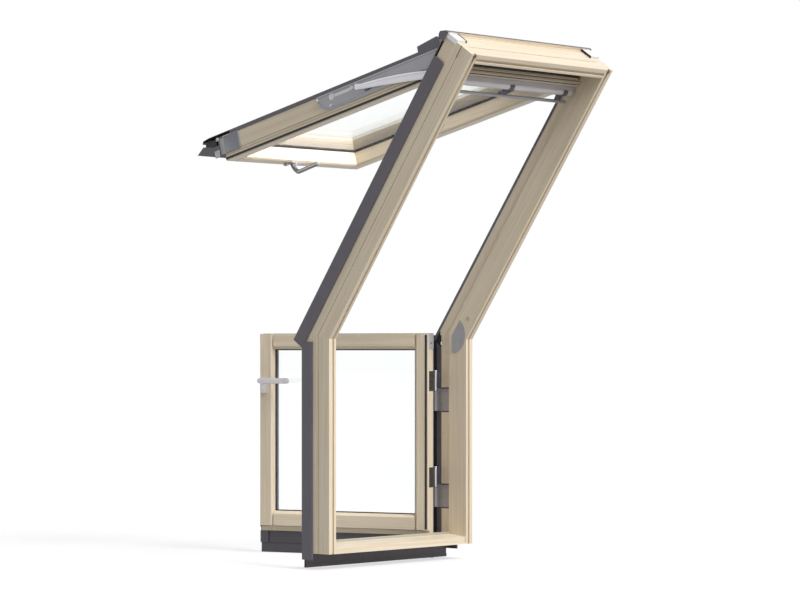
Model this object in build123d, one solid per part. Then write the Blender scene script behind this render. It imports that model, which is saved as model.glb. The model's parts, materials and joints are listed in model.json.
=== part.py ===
from build123d import *
import math
import os

# A balcony roof window: a timber frame that bends at the knee, from a vertical lower part
# to a sloped upper part. The upper part has a top hung sash, held open on two lifting arms.
# The lower part has a side hung glazed door leaf with a lever handle, standing open.
# Millimetres. X runs across the window and is 0 at its middle, +Y points outdoors, +Z is up.
# The pieces are drawn with the room face of the lower frame at Y = 0 and its underside at
# Z = 0, and written with the middle of the sill's underside at the origin.

# Driving sizes of the frame
clear_width = 1018.0
jamb_thickness = 52.0
lower_height = 1090.0
roof_pitch = 55.6
upper_length = 1616.0
frame_depth = 187.0
shoulder_depth = 121.0
rebate_width = 15.0
knee_joint_rise = 22.0
knee_nose_reach = 7.0
arris = 2.0

# Grooves in the timber members
face_bead = 14.0
face_groove_width = 14.0
face_groove_depth = 12.0
side_groove_place = 73.6
side_groove_width = 4.0
side_groove_depth = 5.0

# Sill
sill_front_height = 38.0
sill_rise = 12.0
threshold_height = 62.0
threshold_width = 14.0
threshold_edge = (3.0, 4.0)
head_outer_groove = 175.0
sill_rebate_height = 30.0
sill_outer_height = 24.0
sill_seat_rebate = 22.0
sill_seat_height = 6.0

# Metal cladding
sheet = 2.0
side_cladding_stand_off = 9.0
side_cladding_start = 112.0
lower_cladding_reach = 34.2
lower_cladding_chamfer = 40.0
lower_cladding_drop = 33.0
lower_cladding_top_gap = 14.0
weather_strip_reach = 30.0
weather_strip_top_gap = 20.0
weather_strip_gap = 3.0
drip_notch_height = 96.0
upper_cladding_start = 124.0
upper_cladding_reach = 17.0
upper_cladding_overlap = 139.0
upper_cladding_end_gap = 38.0
upper_cladding_leg_gap = 123.0
upper_cladding_corner = 14.0
upper_cladding_strip = 6.0
cladding_return_gap = 16.0
lap_gap = 1.0
cladding_bend = 8.0

# Door leaf
leaf_side_gap = 10.0
leaf_shoulder_gap = 7.0
leaf_bottom = 40.0
leaf_lip_bottom = 66.0
leaf_top_rise = 31.0
leaf_thickness = 62.0
leaf_inner_layer = 20.0
leaf_rail_width = 84.0
leaf_opening = 74.8
hinge_pin_radius = 4.0
hinge_pin_gap = 30.0

# Sash
sash_opening = 42.0
sash_hinge_drop = 11.0
sash_hinge_rise = 9.0
sash_lift = 20.0
sash_slide = 22.0
sash_low_face = 51.0
sash_timber_drop = 1.0
sash_top_rise = 16.0
sash_side_gap = 4.0
sash_stile_width = 66.0
sash_bottom_end = 21.0
sash_glass_drop = 55.0

# Glazing, one unit of two panes on a spacer
pane = 4.0
spacer_depth = 16.0
spacer_width = 12.0
glass_cover = 14.0
glass_clearance = 5.0

# Seals and beads
gasket_thickness = 4.0
gasket_show = 6.0
bead_bevel = 16.0

# Hood, corner plates, apron and knee covers of the frame
batten_low = 37.0
batten_depth = 26.0
batten_slant = 10.5
saw_cut_place = 64.0
saw_cut_width = 2.5
saw_cut_depth = 3.0
saw_cut_low = 59.0
hood_front = 45.0
hood_shoulder = 44.0
hood_edge = 31.0
hood_ridge = 13.0
hood_foot = 3.0
hood_edge_low = 44.0
hood_front_low = 21.0
hood_front_high = 6.0
hood_ridge_high = 16.0
cap_height = 10.0
cap_width = 64.0
cap_start = 114.0
cap_lip = 13.0
cap_round = 5.0
apron_back = 16.0
apron_depth = 14.0
apron_height = 75.0
apron_step = 58.0
apron_seat = 3.0
apron_inset = 13.0
knee_cover_thickness = 2.5
knee_cover_edge = ((100.0, -10.0), (100.0, -68.0), (82.0, -74.0))
knee_cover_bulge = (8.0, 2.0)
knee_cover_tip = (42.0, 103.0)
knee_cover_corner = (100.0, 18.0)

# Door hinges
hinge_barrel_radius = 9.0
hinge_recess = 6.0
hinge_plate = 3.0
hinge_plate_inset = 12.0
frame_plate_height = 120.0
knuckle_low = 106.0
knuckle_height = 108.0
upper_hinge_drop = 415.0
lower_hinge_low = 190.0
running_gap = 0.5
pin_clearance = 0.06

# Drip and lever handle of the leaf
leaf_glass_offset = 26.0
leaf_cladding_wrap = 24.0
drip_overrun = 39.0
drip_top = 8.0
drip_bend = 6.0
drip_slope = 10.0
drip_reach = 9.0
drip_fold = 6.0
drip_step = -28.0
drip_bottom = -83.0
drip_plug = 50.0
drip_plug_gap = 4.0
handle_x = -486.5
handle_drop = 257.0
handle_plate_width = 33.0
handle_plate_height = 91.0
handle_plate_depth = 8.0
handle_plate_drop = 23.5
lever_neck_radius = 10.0
lever_root_radius = 14.0
lever_reach = 45.0
lever_length = 168.0
lever_height = 31.0
lever_thickness = 14.0
seal_width = 12.0
seal_thickness = 2.0
seal_edge = 7.0
top_cap_thickness = 3.0
top_cap_height = 81.0
top_cap_inset = 6.0

# Parts on the sash
sash_side_grooves = (79.0, 92.0)
sash_top_end_gap = 9.0
top_rail_width = 93.0
top_rail_face = 80.0
vent_rail_height = 43.0
vent_rail_depth = 34.0
vent_ribs = 4
rib_gap = 3.0
control_bar_width = 40.0
control_bar_low = 3.0
control_bar_gap = 38.0
control_bar_inset = 18.0
grab_depth = -14.0
grab_gap = 107.0
grab_radius = 8.5
grab_inset = 13.0
grab_bracket_inset = 50.0
grab_bracket_width = 26.0
side_seal_low = 6.0
side_seal_width = 11.0
side_seal_thickness = 3.0
foot_heel = 66.0
foot_tip = (67.0, -180.0)
foot_nose = (36.0, -128.0)
foot_seat = (60.0, -50.0)
foot_back = -15.0
plate_lip = 19.0
plate_lip_start = -60.0
plate_end = -128.0
plate_fold = 7.0
plate_bend = -78.0
sash_hood_low_gap = 181.0
sash_hood_high_gap = 39.0
sash_hood_rise = 27.0
sash_hood_slant = 12.0
cladding_sight = 10.0
casting_depth = 6.0
casting_low = 98.0
casting_high = 4.0
casting_start = 26.0
casting_end = 141.0
end_cap_high = 11.0
end_cap_start = -2.0

# Lifting arm and the housing that it slides in
cover_depth = 6.0
cover_low = 81.0
cover_high = 4.0
cover_tip_gap = 905.0
cover_round_gap = 824.0
cover_round_mid = (56.0, 883.0)
cover_top_gap = 40.0
arm_thickness = 5.0
arm_pivot_depth = 51.0
arm_pivot_gap = 51.0
arm_slider_drop = 34.0
arm_slider_gap = 629.0
arm_root_radius = 14.0
arm_tip_radius = 10.0
arm_middle_gap = 410.0
arm_middle_top = 40.0
arm_middle_low = 75.0
arm_boss_radius = 9.0

# Handle of the sash
sash_handle_low = -77.0
sash_handle_high = 20.0
sash_handle_plate = 6.0
sash_handle_start = 16.0
sash_handle_width = 23.0
grip_start = 37.0
grip_neck_low = 53.0
grip_low = -66.0
grip_width = 18.0
grip_depth = 22.0
grip_thickness = 19.0
grip_rise = 7.0
grip_end = 234.0
grip_round = 8.0

inner_half = clear_width / 2
outer_half = inner_half + jamb_thickness
rebate_half = inner_half + rebate_width
cladding_half = outer_half + side_cladding_stand_off
joint_height = lower_height + knee_joint_rise
knee_nose_depth = frame_depth + knee_nose_reach
slope_top = upper_length + jamb_thickness
glass_thickness = 2 * pane + spacer_depth
lower_cladding_front = frame_depth + lower_cladding_reach
upper_cladding_front = frame_depth + upper_cladding_reach
sash_hinge_slope = upper_length - sash_hinge_drop
sash_hinge_depth = frame_depth + sash_hinge_rise
sash_timber_top = frame_depth - sash_timber_drop
sash_top_face = frame_depth + sash_top_rise
sash_glass_depth = frame_depth - sash_glass_drop
sash_top_end = upper_length + sash_top_end_gap
top_rail_low = sash_top_end - top_rail_width
sash_hood_low = sash_top_end - sash_hood_low_gap - cladding_sight
sash_hood_high = sash_top_end - sash_hood_high_gap - cladding_sight
apron_place = frame_depth - apron_back
leaf_top = lower_height + leaf_top_rise
upper_hinge_low = leaf_top - upper_hinge_drop
handle_z = leaf_top - handle_drop

sill_middle = Pos(0, -frame_depth / 2, 0)
roof = Pos(0, 0, lower_height) * Rot(90 - roof_pitch, 0, 0)
sash_swing = (
    roof
    * Pos(0, sash_hinge_depth, sash_hinge_slope)
    * Rot(sash_opening, 0, 0)
    * Pos(0, sash_lift - sash_hinge_depth, -sash_slide - sash_hinge_slope)
)

leaf_half = inner_half + leaf_side_gap / 2
leaf_room_face = shoulder_depth + leaf_shoulder_gap
leaf_outer_face = leaf_room_face + leaf_thickness
pin_x = leaf_half
pin_y = leaf_outer_face + hinge_pin_gap
leaf_glass_face = leaf_room_face + leaf_glass_offset
sash_half = inner_half - sash_side_gap
control_bar_half = sash_half - control_bar_inset
grab_half = sash_half - grab_inset
grab_bracket_place = sash_half - grab_bracket_inset
arm_slider_depth = sash_timber_top - arm_slider_drop
leaf_swing = Pos(pin_x, pin_y, 0) * Rot(0, 0, -leaf_opening) * Pos(-pin_x, -pin_y, 0)


def to_slope(y, z):
    """Depth and slope length, in the roof's own frame, of a point of the vertical part."""
    pitch = math.radians(roof_pitch)
    rise = z - lower_height
    depth = math.sin(pitch) * y + math.cos(pitch) * rise
    length = math.sin(pitch) * rise - math.cos(pitch) * y
    return depth, length


def side_prism(points, x_low, x_high, rounding=0):
    """Solid between two X planes from an outline of (Y, Z) points, lowest corners rounded."""
    face = make_face(Polyline(*[(x_low, y, z) for y, z in points], close=True))
    if rounding:
        face = fillet(face.vertices().group_by(Axis.Y)[0], rounding)
    return extrude(face, amount=x_high - x_low, dir=(1, 0, 0))


def plan_prism(points, z_low, z_high, rounding=0):
    """Solid between two Z planes from an outline of (X, Y) points, lowest corners rounded."""
    face = make_face(Polyline(*[(x, y, z_low) for x, y in points], close=True))
    if rounding:
        face = fillet(face.vertices().group_by(Axis.Y)[0], rounding)
    return extrude(face, amount=z_high - z_low, dir=(0, 0, 1))


def block(x_low, x_high, y_low, y_high, z_low, z_high):
    """Plain block between six planes."""
    size = Box(x_high - x_low, y_high - y_low, z_high - z_low, align=(Align.MIN,) * 3)
    return Pos(x_low, y_low, z_low) * size


def sheet_outline(points, thickness):
    """Closed outline of a folded sheet, with its thickness on the left of the points."""
    inner = []
    for i, point in enumerate(points):
        before = points[max(i - 1, 0)]
        after = points[min(i + 1, len(points) - 1)]
        normals = []
        for start, end in ((before, point), (point, after)):
            run = math.dist(start, end)
            if run > 0:
                normals.append((-(end[1] - start[1]) / run, (end[0] - start[0]) / run))
        a, b = normals[0], normals[-1]
        reach = thickness / (1 + a[0] * b[0] + a[1] * b[1])
        inner.append((point[0] + reach * (a[0] + b[0]), point[1] + reach * (a[1] + b[1])))
    return list(points) + inner[::-1]


def mirrored(shape):
    """The same piece on the left side."""
    return mirror(shape, about=Plane.YZ)


def jamb_plan():
    """Section of a right jamb: bead, groove and outer edge, with the rebate outdoors."""
    groove_in = inner_half + face_bead
    groove_out = groove_in + face_groove_width
    notch = side_groove_place + side_groove_width
    return [
        (inner_half, 0),
        (groove_in, 0),
        (groove_in, face_groove_depth),
        (groove_out, face_groove_depth),
        (groove_out, 0),
        (outer_half, 0),
        (outer_half, side_groove_place),
        (outer_half - side_groove_depth, side_groove_place),
        (outer_half - side_groove_depth, notch),
        (outer_half, notch),
        (outer_half, frame_depth),
        (rebate_half, frame_depth),
        (rebate_half, shoulder_depth),
        (inner_half, shoulder_depth),
    ]


def lower_jamb():
    """Right vertical jamb, cut to the stepped knee joint at its top."""
    bar = plan_prism(jamb_plan(), 0, lower_height + frame_depth, arris)
    outline = [
        (0, 0),
        (frame_depth, 0),
        (frame_depth, joint_height),
        (shoulder_depth, joint_height),
        (0, lower_height),
    ]
    return bar & side_prism(outline, inner_half, outer_half)


def upper_jamb():
    """Right sloped jamb, from the stepped knee joint to the top of the frame."""
    bar = plan_prism(jamb_plan(), -frame_depth, slope_top, arris)
    pitch = math.radians(roof_pitch)
    nose_rise = (frame_depth - math.sin(pitch) * knee_nose_depth) / math.cos(pitch)
    outline = [
        (0, 0),
        to_slope(shoulder_depth, joint_height),
        to_slope(knee_nose_depth, joint_height),
        to_slope(knee_nose_depth, lower_height + nose_rise),
        (frame_depth, slope_top),
        (0, slope_top),
    ]
    return bar & side_prism(outline, inner_half, outer_half)


def saw_cut():
    """Block to take out of the jamb's side where a cut runs down from the cap."""
    return block(
        outer_half - saw_cut_depth,
        outer_half,
        saw_cut_place,
        saw_cut_place + saw_cut_width,
        slope_top - saw_cut_low,
        slope_top,
    )


def head():
    """Head between the sloped jambs, with the same section, and two grooves on its top."""
    groove_in = upper_length + face_bead
    groove_out = groove_in + face_groove_width
    outline = [
        (0, upper_length),
        (0, groove_in),
        (face_groove_depth, groove_in),
        (face_groove_depth, groove_out),
        (0, groove_out),
        (0, slope_top),
        (frame_depth, slope_top),
        (frame_depth, upper_length + rebate_width),
        (shoulder_depth, upper_length + rebate_width),
        (shoulder_depth, upper_length),
    ]
    bar = side_prism(outline, -inner_half, inner_half, arris)
    for place in (side_groove_place, head_outer_groove):
        bar -= block(
            -inner_half,
            inner_half,
            place,
            place + side_groove_width,
            slope_top - side_groove_depth,
            slope_top,
        )
    return bar


def sill():
    """Sill between the lower jambs, sloped on top, with a rebate for the leaf outdoors."""
    step = shoulder_depth - threshold_width
    outline = [
        (0, 0),
        (0, sill_front_height),
        (step, sill_front_height + sill_rise),
        (shoulder_depth, sill_front_height + sill_rise),
        (shoulder_depth, sill_rebate_height),
        (frame_depth, sill_outer_height),
        (frame_depth, sill_seat_height),
        (frame_depth - sill_seat_rebate, sill_seat_height),
        (frame_depth - sill_seat_rebate, 0),
    ]
    return side_prism(outline, -inner_half, inner_half)


def threshold_strip():
    """Metal upstand on the sill that the foot of the closed leaf comes up to."""
    seat = sill_front_height + sill_rise
    step = shoulder_depth - threshold_width
    edge_width, edge_height = threshold_edge
    outline = [
        (step, seat),
        (step, threshold_height - edge_height),
        (step + edge_width, threshold_height),
        (shoulder_depth, threshold_height),
        (shoulder_depth, seat),
    ]
    return side_prism(outline, -inner_half, inner_half)


def lower_cladding(notched):
    """Right folded cladding of the lower frame, cut back where the leaf's drip stands out."""
    return_x = inner_half + cladding_return_gap
    bend = lower_cladding_front - lower_cladding_chamfer
    path = [
        (outer_half, side_cladding_start),
        (cladding_half, side_cladding_start),
        (cladding_half, bend),
        (cladding_half - lower_cladding_chamfer, lower_cladding_front),
        (return_x, lower_cladding_front),
        (return_x, frame_depth),
    ]
    top = lower_height - lower_cladding_top_gap
    shape = plan_prism(sheet_outline(path, sheet), -lower_cladding_drop, top)
    if notched:
        shape -= block(
            return_x - sheet,
            cladding_half - sheet,
            frame_depth,
            lower_cladding_front + sheet,
            -lower_cladding_drop,
            drip_notch_height,
        )
    lap = block(
        inner_half,
        cladding_half + sheet,
        upper_cladding_start - lap_gap,
        lower_cladding_front + frame_depth,
        -upper_cladding_overlap - lap_gap,
        upper_cladding_overlap,
    )
    return shape - roof * lap


def hinge_weather_strip():
    """Strip on the right lower cladding that closes the gap beside the open leaf's hinges."""
    x_low = inner_half + cladding_return_gap + weather_strip_gap
    top = lower_height - lower_cladding_top_gap - weather_strip_top_gap
    front = lower_cladding_front
    return block(x_low, x_low + sheet, front, front + weather_strip_reach, 0, top)


def upper_cladding():
    """Right folded cladding of the sloped frame, lapping over the lower one at the knee."""
    return_x = inner_half + cladding_return_gap
    path = [
        (outer_half, upper_cladding_start),
        (cladding_half, upper_cladding_start),
        (cladding_half, upper_cladding_front - cladding_bend),
        (cladding_half - cladding_bend, upper_cladding_front),
        (return_x, upper_cladding_front),
        (return_x, frame_depth),
    ]
    top = slope_top - upper_cladding_end_gap
    shape = plan_prism(sheet_outline(path, sheet), -upper_cladding_overlap, top)
    leg_end = slope_top - upper_cladding_leg_gap
    strip = frame_depth + upper_cladding_strip
    shape -= block(outer_half, cladding_half + sheet, 0, strip, leg_end, slope_top)
    corner_depth = upper_cladding_start + upper_cladding_corner
    corner_slope = leg_end - upper_cladding_corner
    corner = block(outer_half, cladding_half + sheet, 0, corner_depth, corner_slope, slope_top)
    corner -= Pos(outer_half, corner_depth, corner_slope) * Rot(0, 90, 0) * Cylinder(
        upper_cladding_corner, 2 * jamb_thickness
    )
    return shape - corner


def glazing_unit(x_low, x_high, z_low, z_high, y_low):
    """Two panes and the spacer between them, standing in the XZ plane."""
    inner = block(x_low, x_high, y_low, y_low + pane, z_low, z_high)
    outer_low = y_low + pane + spacer_depth
    outer = block(x_low, x_high, outer_low, outer_low + pane, z_low, z_high)
    spacer = block(x_low, x_high, y_low + pane, outer_low, z_low, z_high)
    spacer -= block(
        x_low + spacer_width,
        x_high - spacer_width,
        y_low + pane,
        outer_low,
        z_low + spacer_width,
        z_high - spacer_width,
    )
    return Compound([inner, outer]), spacer


def head_batten():
    """Timber batten along the outer edge of the head, with the hood lying on its top."""
    low = slope_top - batten_low
    top = slope_top + hood_ridge_high - sheet
    outline = [
        (frame_depth, low),
        (frame_depth, top),
        (frame_depth + hood_ridge, top),
        (frame_depth + batten_depth, top - batten_slant),
        (frame_depth + batten_depth, low),
    ]
    return side_prism(outline, -outer_half, outer_half)


def head_hood():
    """Folded metal hood over the batten of the head, with a cheek at each end."""
    path = [
        (frame_depth + hood_foot, slope_top + hood_ridge_high),
        (frame_depth + hood_ridge, slope_top + hood_ridge_high),
        (frame_depth + hood_shoulder, slope_top - hood_front_high),
        (frame_depth + hood_front, slope_top - hood_front_low),
        (frame_depth + hood_edge, slope_top - hood_edge_low),
    ]
    hood = side_prism(sheet_outline(path, -sheet), -cladding_half, cladding_half)
    low = slope_top - upper_cladding_end_gap
    outline = [(frame_depth, low), (frame_depth, slope_top + hood_ridge_high)] + path[1:4]
    outline.append((frame_depth + hood_edge, low))
    cheek = side_prism(outline, cladding_half - sheet, cladding_half)
    return hood + cheek + mirrored(cheek) - head_batten()


def head_cap():
    """Right raised cap over the end of the head, with a lip down the side of the jamb."""
    top = slope_top + cap_height
    cap = block(outer_half - cap_width, outer_half, cap_start, frame_depth, slope_top, top)
    corner = cap.edges().filter_by(Axis.Z).group_by(Axis.X)[0].sort_by(Axis.Y)[0]
    lip = block(outer_half, outer_half + sheet, cap_start, frame_depth, slope_top - cap_lip, top)
    return fillet(corner, cap_round) + lip


def apron_bar():
    """Folded metal apron under the outer half of the sill."""
    y_in, y_out = apron_place, apron_place + apron_depth
    path = [
        (y_out, 0),
        (y_out, -apron_height),
        (y_in, -apron_height),
        (y_in, -apron_step),
        (y_in + apron_seat, -apron_step),
        (y_in + apron_seat, 0),
    ]
    half = outer_half - apron_inset
    bar = side_prism(sheet_outline(path, -sheet), -half, half)
    tongue = block(-inner_half, inner_half, y_in + sheet, y_out, 0, sill_seat_height)
    return bar + tongue


def knee_cover():
    """Right lens shaped cover plate over the knee joint on the reveal."""
    x_low = inner_half - knee_cover_thickness
    straight = [(x_low, y, lower_height + rise) for y, rise in knee_cover_edge]
    bulge = (x_low, knee_cover_bulge[0], lower_height + knee_cover_bulge[1])
    tip = (x_low, knee_cover_tip[0], lower_height + knee_cover_tip[1])
    corner = (x_low, knee_cover_corner[0], lower_height + knee_cover_corner[1])
    front = ThreePointArc(straight[-1], bulge, tip)
    face = make_face([Polyline(*straight), front, Polyline(tip, corner, straight[0])])
    return extrude(face, amount=knee_cover_thickness, dir=(1, 0, 0))


def frame_hinge(low):
    """Hinge part on the right rebate: plate, arm, barrel and pin."""
    plate = block(
        rebate_half - hinge_plate,
        rebate_half,
        leaf_room_face,
        pin_y - hinge_barrel_radius,
        low,
        low + frame_plate_height,
    )
    barrel_height = knuckle_low - running_gap
    barrel = Pos(pin_x, pin_y, low) * Cylinder(
        hinge_barrel_radius, barrel_height, align=(Align.CENTER, Align.CENTER, Align.MIN)
    )
    arm = block(
        pin_x,
        rebate_half,
        pin_y - hinge_barrel_radius - hinge_plate,
        pin_y - hinge_barrel_radius + hinge_plate,
        low,
        low + barrel_height,
    )
    pin = Pos(pin_x, pin_y, low) * Cylinder(
        hinge_pin_radius,
        knuckle_low + knuckle_height,
        align=(Align.CENTER, Align.CENTER, Align.MIN),
    )
    return plate + arm + barrel + pin


def leaf_hinge(low):
    """Hinge part on the edge of the leaf: plate and knuckle around the pin."""
    z_low = low + knuckle_low
    plate = block(
        leaf_half - hinge_recess,
        leaf_half - hinge_recess + hinge_plate,
        leaf_room_face + hinge_plate_inset,
        pin_y,
        z_low,
        z_low + knuckle_height,
    )
    knuckle = Pos(pin_x, pin_y, z_low) * Cylinder(
        hinge_barrel_radius, knuckle_height, align=(Align.CENTER, Align.CENTER, Align.MIN)
    )
    bore = Pos(pin_x, pin_y, z_low) * Cylinder(
        hinge_pin_radius + pin_clearance,
        knuckle_height,
        align=(Align.CENTER, Align.CENTER, Align.MIN),
    )
    return plate + knuckle - bore


def hinge_seats():
    """Blocks to take out of the leaf's edge where its hinge plates are let in."""
    seats = []
    for low in (upper_hinge_low, lower_hinge_low):
        seats.append(
            block(
                leaf_half - hinge_recess,
                leaf_half + sheet,
                leaf_room_face + hinge_plate_inset,
                pin_y,
                low + knuckle_low,
                low + knuckle_low + knuckle_height,
            )
        )
    return seats


def leaf_stile():
    """Right stile of the leaf: room side layer with a bevel, glass rebate, outer layer."""
    sight = leaf_half - leaf_rail_width
    rebate = sight + glass_cover + glass_clearance
    points = [
        (leaf_half, leaf_room_face),
        (leaf_half, leaf_outer_face),
        (rebate, leaf_outer_face),
        (rebate, leaf_glass_face - gasket_thickness),
        (sight, leaf_glass_face - gasket_thickness),
        (sight, leaf_room_face + bead_bevel),
        (sight + bead_bevel, leaf_room_face),
    ]
    bar = plan_prism(points, leaf_bottom, leaf_top, arris)
    foot = block(
        sight,
        leaf_half,
        leaf_room_face,
        leaf_room_face + leaf_inner_layer,
        leaf_bottom,
        leaf_lip_bottom,
    )
    return bar - foot


def leaf_rail(edge, direction):
    """Rail of the leaf between its stiles, from its outer edge towards the glass."""
    sight = edge + direction * leaf_rail_width
    rebate = sight - direction * (glass_cover + glass_clearance)
    points = [
        (leaf_room_face, edge),
        (leaf_outer_face, edge),
        (leaf_outer_face, rebate),
        (leaf_glass_face - gasket_thickness, rebate),
        (leaf_glass_face - gasket_thickness, sight),
        (leaf_room_face + bead_bevel, sight),
        (leaf_room_face, sight - direction * bead_bevel),
    ]
    half = leaf_half - leaf_rail_width
    return side_prism(points, -half, half)


def leaf_bottom_rail():
    """Bottom rail of the leaf, whose outer layer reaches down behind the threshold."""
    half = leaf_half - leaf_rail_width
    y_low = leaf_room_face + leaf_inner_layer
    lip = block(-half, half, y_low, leaf_outer_face, leaf_bottom, leaf_lip_bottom)
    return leaf_rail(leaf_lip_bottom, 1) + lip


def leaf_cladding():
    """Metal tray over the outer face of the leaf, open to the timber on the hinge edge."""
    low, high = leaf_bottom, leaf_top
    start = leaf_outer_face - leaf_cladding_wrap
    outer = block(
        -leaf_half - sheet, leaf_half + sheet, start, leaf_outer_face + sheet, low - sheet, high + sheet
    )
    inner = block(-leaf_half, leaf_half, start, leaf_outer_face, low, high)
    sight = leaf_half - leaf_rail_width
    bottom_sight = leaf_lip_bottom + leaf_rail_width
    top_sight = leaf_top - leaf_rail_width
    opening = block(-sight, sight, start, leaf_outer_face + sheet, bottom_sight, top_sight)
    glass_face = leaf_glass_face + glass_thickness
    wrap = block(
        -sight - sheet,
        sight + sheet,
        glass_face,
        leaf_outer_face + sheet,
        bottom_sight - sheet,
        top_sight + sheet,
    )
    bare = block(leaf_half, leaf_half + sheet, start, leaf_outer_face, low - sheet, high + sheet)
    return (outer - inner + wrap) - opening - bare - hinge_seats()


def leaf_gasket():
    """Rubber strip between the glass and the room side of the leaf, all round."""
    sight = leaf_half - leaf_rail_width - gasket_show
    bottom = leaf_lip_bottom + leaf_rail_width + gasket_show
    top = leaf_top - leaf_rail_width - gasket_show
    width = gasket_show + glass_cover
    y_low = leaf_glass_face - gasket_thickness
    outer = block(
        -sight - width, sight + width, y_low, leaf_glass_face, bottom - width, top + width
    )
    return outer - block(-sight, sight, y_low, leaf_glass_face, bottom, top)


def leaf_drip():
    """Folded drip under the outer face of the leaf, with a plug in its free end."""
    x_low = -inner_half - drip_overrun
    x_high = leaf_half - hinge_barrel_radius
    y_top = leaf_outer_face + sheet
    y_face = y_top + drip_reach
    y_lip = y_face + drip_fold
    bend = leaf_lip_bottom - drip_bend
    path = [
        (y_top, leaf_lip_bottom + drip_top),
        (y_top, bend),
        (y_face, bend - drip_slope),
        (y_face, drip_step),
        (y_lip, drip_step - drip_fold),
        (y_lip, drip_bottom),
        (y_lip - drip_reach, drip_bottom),
    ]
    profile = side_prism(sheet_outline(path, sheet), x_low, x_high)
    plug_top = leaf_bottom - drip_plug_gap
    plug = block(x_low, x_low + drip_plug, y_top + sheet, y_face, drip_step, plug_top)
    return profile + plug


def handle_plate():
    """Long rounded plate of the lever handle on the free stile."""
    plate = Box(handle_plate_width, handle_plate_depth, handle_plate_height)
    plate = fillet(plate.edges().filter_by(Axis.Y), handle_plate_width / 4)
    y_mid = leaf_room_face - handle_plate_depth / 2
    return Pos(handle_x, y_mid, handle_z - handle_plate_drop) * plate


def handle_lever():
    """Lever with a flared neck, lying level towards the hinges."""
    y_plate = leaf_room_face - handle_plate_depth - running_gap
    neck = Pos(handle_x, y_plate - lever_reach / 2, handle_z) * Rot(90, 0, 0) * Cone(
        lever_root_radius, lever_neck_radius, lever_reach
    )
    y_bar = y_plate - lever_reach
    grip = SlotCenterToCenter(lever_length, lever_height)
    bar = extrude(Plane.XZ * grip, amount=lever_thickness)
    bar = Pos(handle_x + lever_length / 2, y_bar + lever_thickness / 2, handle_z) * bar
    return neck + bar


def leaf_seal():
    """Weather strip down the room face of the leaf, beside its hinge edge."""
    x_high = leaf_half - seal_edge
    y_low = leaf_room_face - seal_thickness
    return block(
        x_high - seal_width,
        x_high,
        y_low,
        leaf_room_face,
        leaf_lip_bottom + seal_edge,
        leaf_top - seal_edge,
    )


def leaf_top_cap():
    """Cap plate on the hinge edge of the leaf, at its top."""
    return block(
        leaf_half,
        leaf_half + top_cap_thickness,
        leaf_room_face + top_cap_inset,
        leaf_outer_face,
        leaf_top - top_cap_height,
        leaf_top,
    )


def sash_stile():
    """Right stile of the sash with two grooves in its side and the glass rebate."""
    sight = sash_half - sash_stile_width
    rebate = sight + glass_cover + glass_clearance
    points = [
        (sight + bead_bevel / 2, sash_low_face),
        (sash_half, sash_low_face),
        (sash_half, sash_timber_top),
        (rebate, sash_timber_top),
        (rebate, sash_glass_depth),
        (sight, sash_glass_depth),
        (sight, sash_low_face + bead_bevel / 2),
    ]
    bar = plan_prism(points, sash_bottom_end, sash_top_end)
    for place in sash_side_grooves:
        bar -= block(
            sash_half - side_groove_depth,
            sash_half,
            place,
            place + side_groove_width,
            sash_bottom_end,
            sash_top_end,
        )
    notch = block(
        sight, sash_half, sash_low_face, top_rail_face, top_rail_low, sash_top_end
    )
    return bar - notch


def sash_bottom_rail():
    """Bottom rail of the sash between its stiles."""
    sight = sash_bottom_end + sash_stile_width
    rebate = sight - glass_cover - glass_clearance
    points = [
        (sash_low_face, sash_bottom_end),
        (sash_timber_top, sash_bottom_end),
        (sash_timber_top, rebate),
        (sash_glass_depth, rebate),
        (sash_glass_depth, sight),
        (sash_low_face + bead_bevel / 2, sight),
        (sash_low_face, sight - bead_bevel / 2),
    ]
    half = sash_half - sash_stile_width
    return side_prism(points, -half, half)


def sash_top_rail():
    """Top rail of the sash between its stiles."""
    rebate = top_rail_low + glass_cover + glass_clearance
    points = [
        (top_rail_face, top_rail_low),
        (sash_glass_depth, top_rail_low),
        (sash_glass_depth, rebate),
        (sash_timber_top, rebate),
        (sash_timber_top, sash_top_end),
        (top_rail_face, sash_top_end),
    ]
    half = sash_half - sash_stile_width
    return side_prism(points, -half, half)


def vent_rail():
    """Ribbed rail of the ventilation flap along the top end of the sash."""
    low = top_rail_face - vent_rail_height
    back = sash_top_end - vent_rail_depth
    points = [(top_rail_face, back), (low, back), (low, sash_top_end)]
    pitch = vent_rail_height / vent_ribs
    for i in range(vent_ribs - 1):
        edge = low + pitch * (i + 1)
        points += [
            (edge - rib_gap, sash_top_end),
            (edge - rib_gap, sash_top_end - rib_gap),
            (edge, sash_top_end - rib_gap),
            (edge, sash_top_end),
        ]
    points.append((top_rail_face, sash_top_end))
    return side_prism(points, -sash_half, sash_half)


def control_bar():
    """Rounded metal bar that carries the ventilation grip, under the top rail."""
    high = sash_top_end - control_bar_gap
    low = high - control_bar_width
    x_low = -control_bar_half
    bend = control_bar_low + control_bar_width / 2
    straight = Polyline(
        (x_low, bend, high),
        (x_low, top_rail_face, high),
        (x_low, top_rail_face, low),
        (x_low, bend, low),
    )
    round_side = ThreePointArc(
        (x_low, bend, low), (x_low, control_bar_low, (low + high) / 2), (x_low, bend, high)
    )
    face = make_face([straight, round_side])
    return extrude(face, amount=2 * control_bar_half, dir=(1, 0, 0))


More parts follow.
